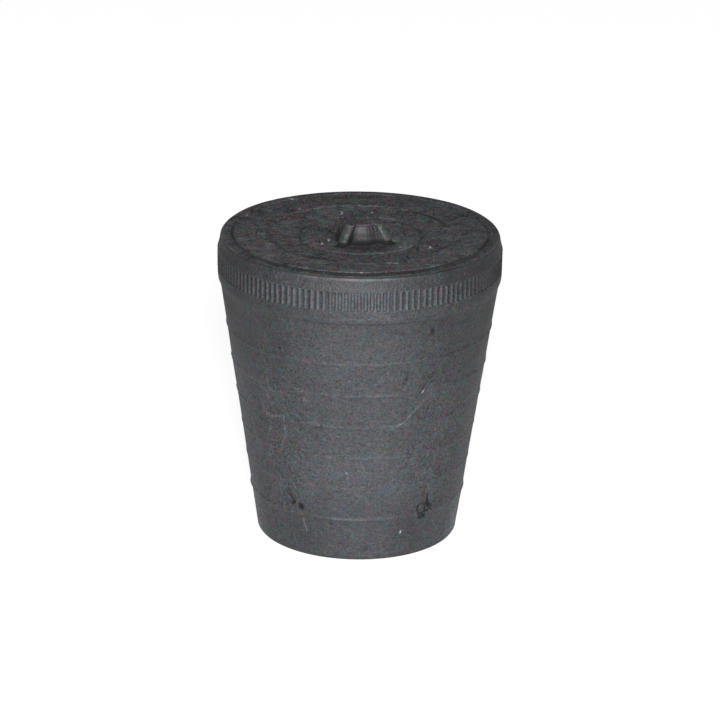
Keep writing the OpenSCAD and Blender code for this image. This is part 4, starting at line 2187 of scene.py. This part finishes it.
@dataclass(frozen=True)
class Studio:
    """The pale floor, its low upturned edge, the soft lamps and the camera."""

    look_at: Triple = (0.00026, 0.0, 0.0322)
    distance: float = 0.6275
    elevation: float = 20.0
    roll: float = 0.75
    lens: float = 170.15
    sensor: float = 36.0
    floor_radius: float = 4.0
    edge_h: float = 0.6
    floor_tone: float = 0.4
    floor_lift: float = 0.84
    world_tone: float = 0.08
    lamps: tuple[Lamp, ...] = (
        Lamp("key", azimuth=1.0, elevation=23.5, distance=3.0, side=0.45, power=93.0),
    )

    def around(self, azimuth: float, elevation: float, distance: float) -> Vector:
        """A place at some azimuth, elevation and distance from what the camera looks at.

        Args:
            azimuth: Degrees round from the front.
            elevation: Degrees above the floor.
            distance: Distance in metres.

        Returns:
            The place.
        """
        flat = math.cos(math.radians(elevation))
        turn = math.radians(azimuth)
        out = Vector((math.sin(turn) * flat, -math.cos(turn) * flat, math.sin(math.radians(elevation))))
        return Vector(self.look_at) + out * distance

    def aimed(self, name: str, data: bpy.types.ID, place: Vector, roll: float = 0.0) -> bpy.types.Object:
        """A camera or a lamp at some place, which looks at the stopper.

        Args:
            name: The object's name.
            data: The camera or the lamp.
            place: Where it stands.
            roll: Degrees that it is turned about its gaze.

        Returns:
            The object.
        """
        made = bpy.data.objects.new(name, data)
        made.location = place
        made.rotation_mode = "QUATERNION"
        gaze = (Vector(self.look_at) - place).to_track_quat("-Z", "Y")
        made.rotation_quaternion = gaze @ Quaternion((0, 0, 1), math.radians(roll))
        bpy.context.scene.collection.objects.link(made)
        return made

    def camera(self) -> None:
        """Makes the camera that the scene uses."""
        data = bpy.data.cameras.new("camera")
        data.lens = self.lens
        data.sensor_width = self.sensor
        place = self.around(0, self.elevation, self.distance)
        bpy.context.scene.camera = self.aimed("camera", data, place, self.roll)

    def light(self, lamp: Lamp) -> None:
        """Makes one lamp.

        Args:
            lamp: The lamp's size, power and place.
        """
        data = bpy.data.lights.new(lamp.name, "AREA")
        data.size = lamp.side
        data.energy = lamp.power
        self.aimed(lamp.name, data, self.around(lamp.azimuth, lamp.elevation, lamp.distance))

    def seen(self, graph: Graph) -> Socket:
        """1 for the rays that show the background: from the camera, from gloss and through glass.

        Args:
            graph: The nodes of the material that asks.

        Returns:
            1 or 0.
        """
        path = graph.node("ShaderNodeLightPath").outputs
        rays = graph.total(path["Is Camera Ray"], path["Is Glossy Ray"], path["Is Transmission Ray"])
        return graph.within(rays)

    def surround(self) -> None:
        """Makes the world, a plain dim grey."""
        world = bpy.data.worlds.new("surround")
        bpy.context.scene.world = world
        world.use_nodes = True
        graph = Graph(world.node_tree)
        light = graph.node("ShaderNodeBackground")
        light.inputs["Color"].default_value = (1, 1, 1, 1)
        light.inputs["Strength"].default_value = self.world_tone
        graph.feed(graph.node("ShaderNodeOutputWorld").inputs["Surface"], light.outputs[0])

    def paper(self) -> bpy.types.Material:
        """The matt white of the floor, which is lifted towards white where it is seen.

        Returns:
            The material.
        """
        material = bpy.data.materials.new("pale_floor")
        material.use_nodes = True
        graph = Graph(material.node_tree)
        matt = graph.node("ShaderNodeBsdfDiffuse")
        matt.inputs["Color"].default_value = (self.floor_tone,) * 3 + (1,)
        glow = graph.node("ShaderNodeEmission")
        graph.feed(glow.inputs["Strength"], graph.weighted(self.seen(graph), self.floor_lift))
        both = graph.node("ShaderNodeAddShader")
        graph.feed(both.inputs[0], matt.outputs[0])
        graph.feed(both.inputs[1], glow.outputs[0])
        graph.feed(graph.node("ShaderNodeOutputMaterial").inputs["Surface"], both.outputs[0])
        return material

    def floor(self) -> None:
        """Makes the plain pale floor, a disc whose edge turns up into a low wall."""
        turns = np.radians(np.linspace(0, 90, 7))
        bend = self.edge_h / 2
        inner = self.floor_radius - bend
        outline = [(inner, 0.0)]
        outline += [(inner + bend * math.sin(turn), bend * (1 - math.cos(turn))) for turn in turns[1:]]
        outline.append((self.floor_radius, self.edge_h))
        skin = Skin((0, 0, 0))
        skin.grow(revolve(outline, np.linspace(-180, 180, 96, endpoint=False)), Zone.FOOT)
        mesh = bpy.data.meshes.new("floor")
        mesh.from_pydata(np.concatenate(skin.points), [], skin.faces)
        mesh.shade_smooth()
        mesh.materials.append(self.paper())
        made = bpy.data.objects.new("floor", mesh)
        bpy.context.scene.collection.objects.link(made)

    def build(self) -> None:
        """Sets the floor, the surround and the lamps, and how light is shown."""
        bpy.context.scene.view_settings.view_transform = "Standard"
        self.surround()
        self.floor()
        for lamp in self.lamps:
            self.light(lamp)


def main() -> None:
    """Builds the studio and the stopper, and ties the stopper to the frame."""
    logging.basicConfig(level=logging.INFO, format="%(name)s: %(message)s")
    _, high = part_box(NODE)
    studio = Studio()
    studio.camera()
    studio.build()
    log.info("studio ready")
    collar_r = high.x / MM
    top_z = high.z / MM
    stopper = Stopper(
        plug=Plug(),
        collar=Collar(radius=collar_r),
        face=Face(),
        boss=Boss(top_z=top_z),
        wear=Wear(radius=collar_r, top_z=top_z),
        atlas=Atlas(),
        finish=Rubber(),
    )
    piece = stopper.build()
    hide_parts(NODE)
    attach(piece, "root")
    count = sum(len(face.vertices) - 2 for face in piece.data.polygons)
    log.info("%s: %d triangles", piece.name, count)


if __name__ == "__main__":
    main()
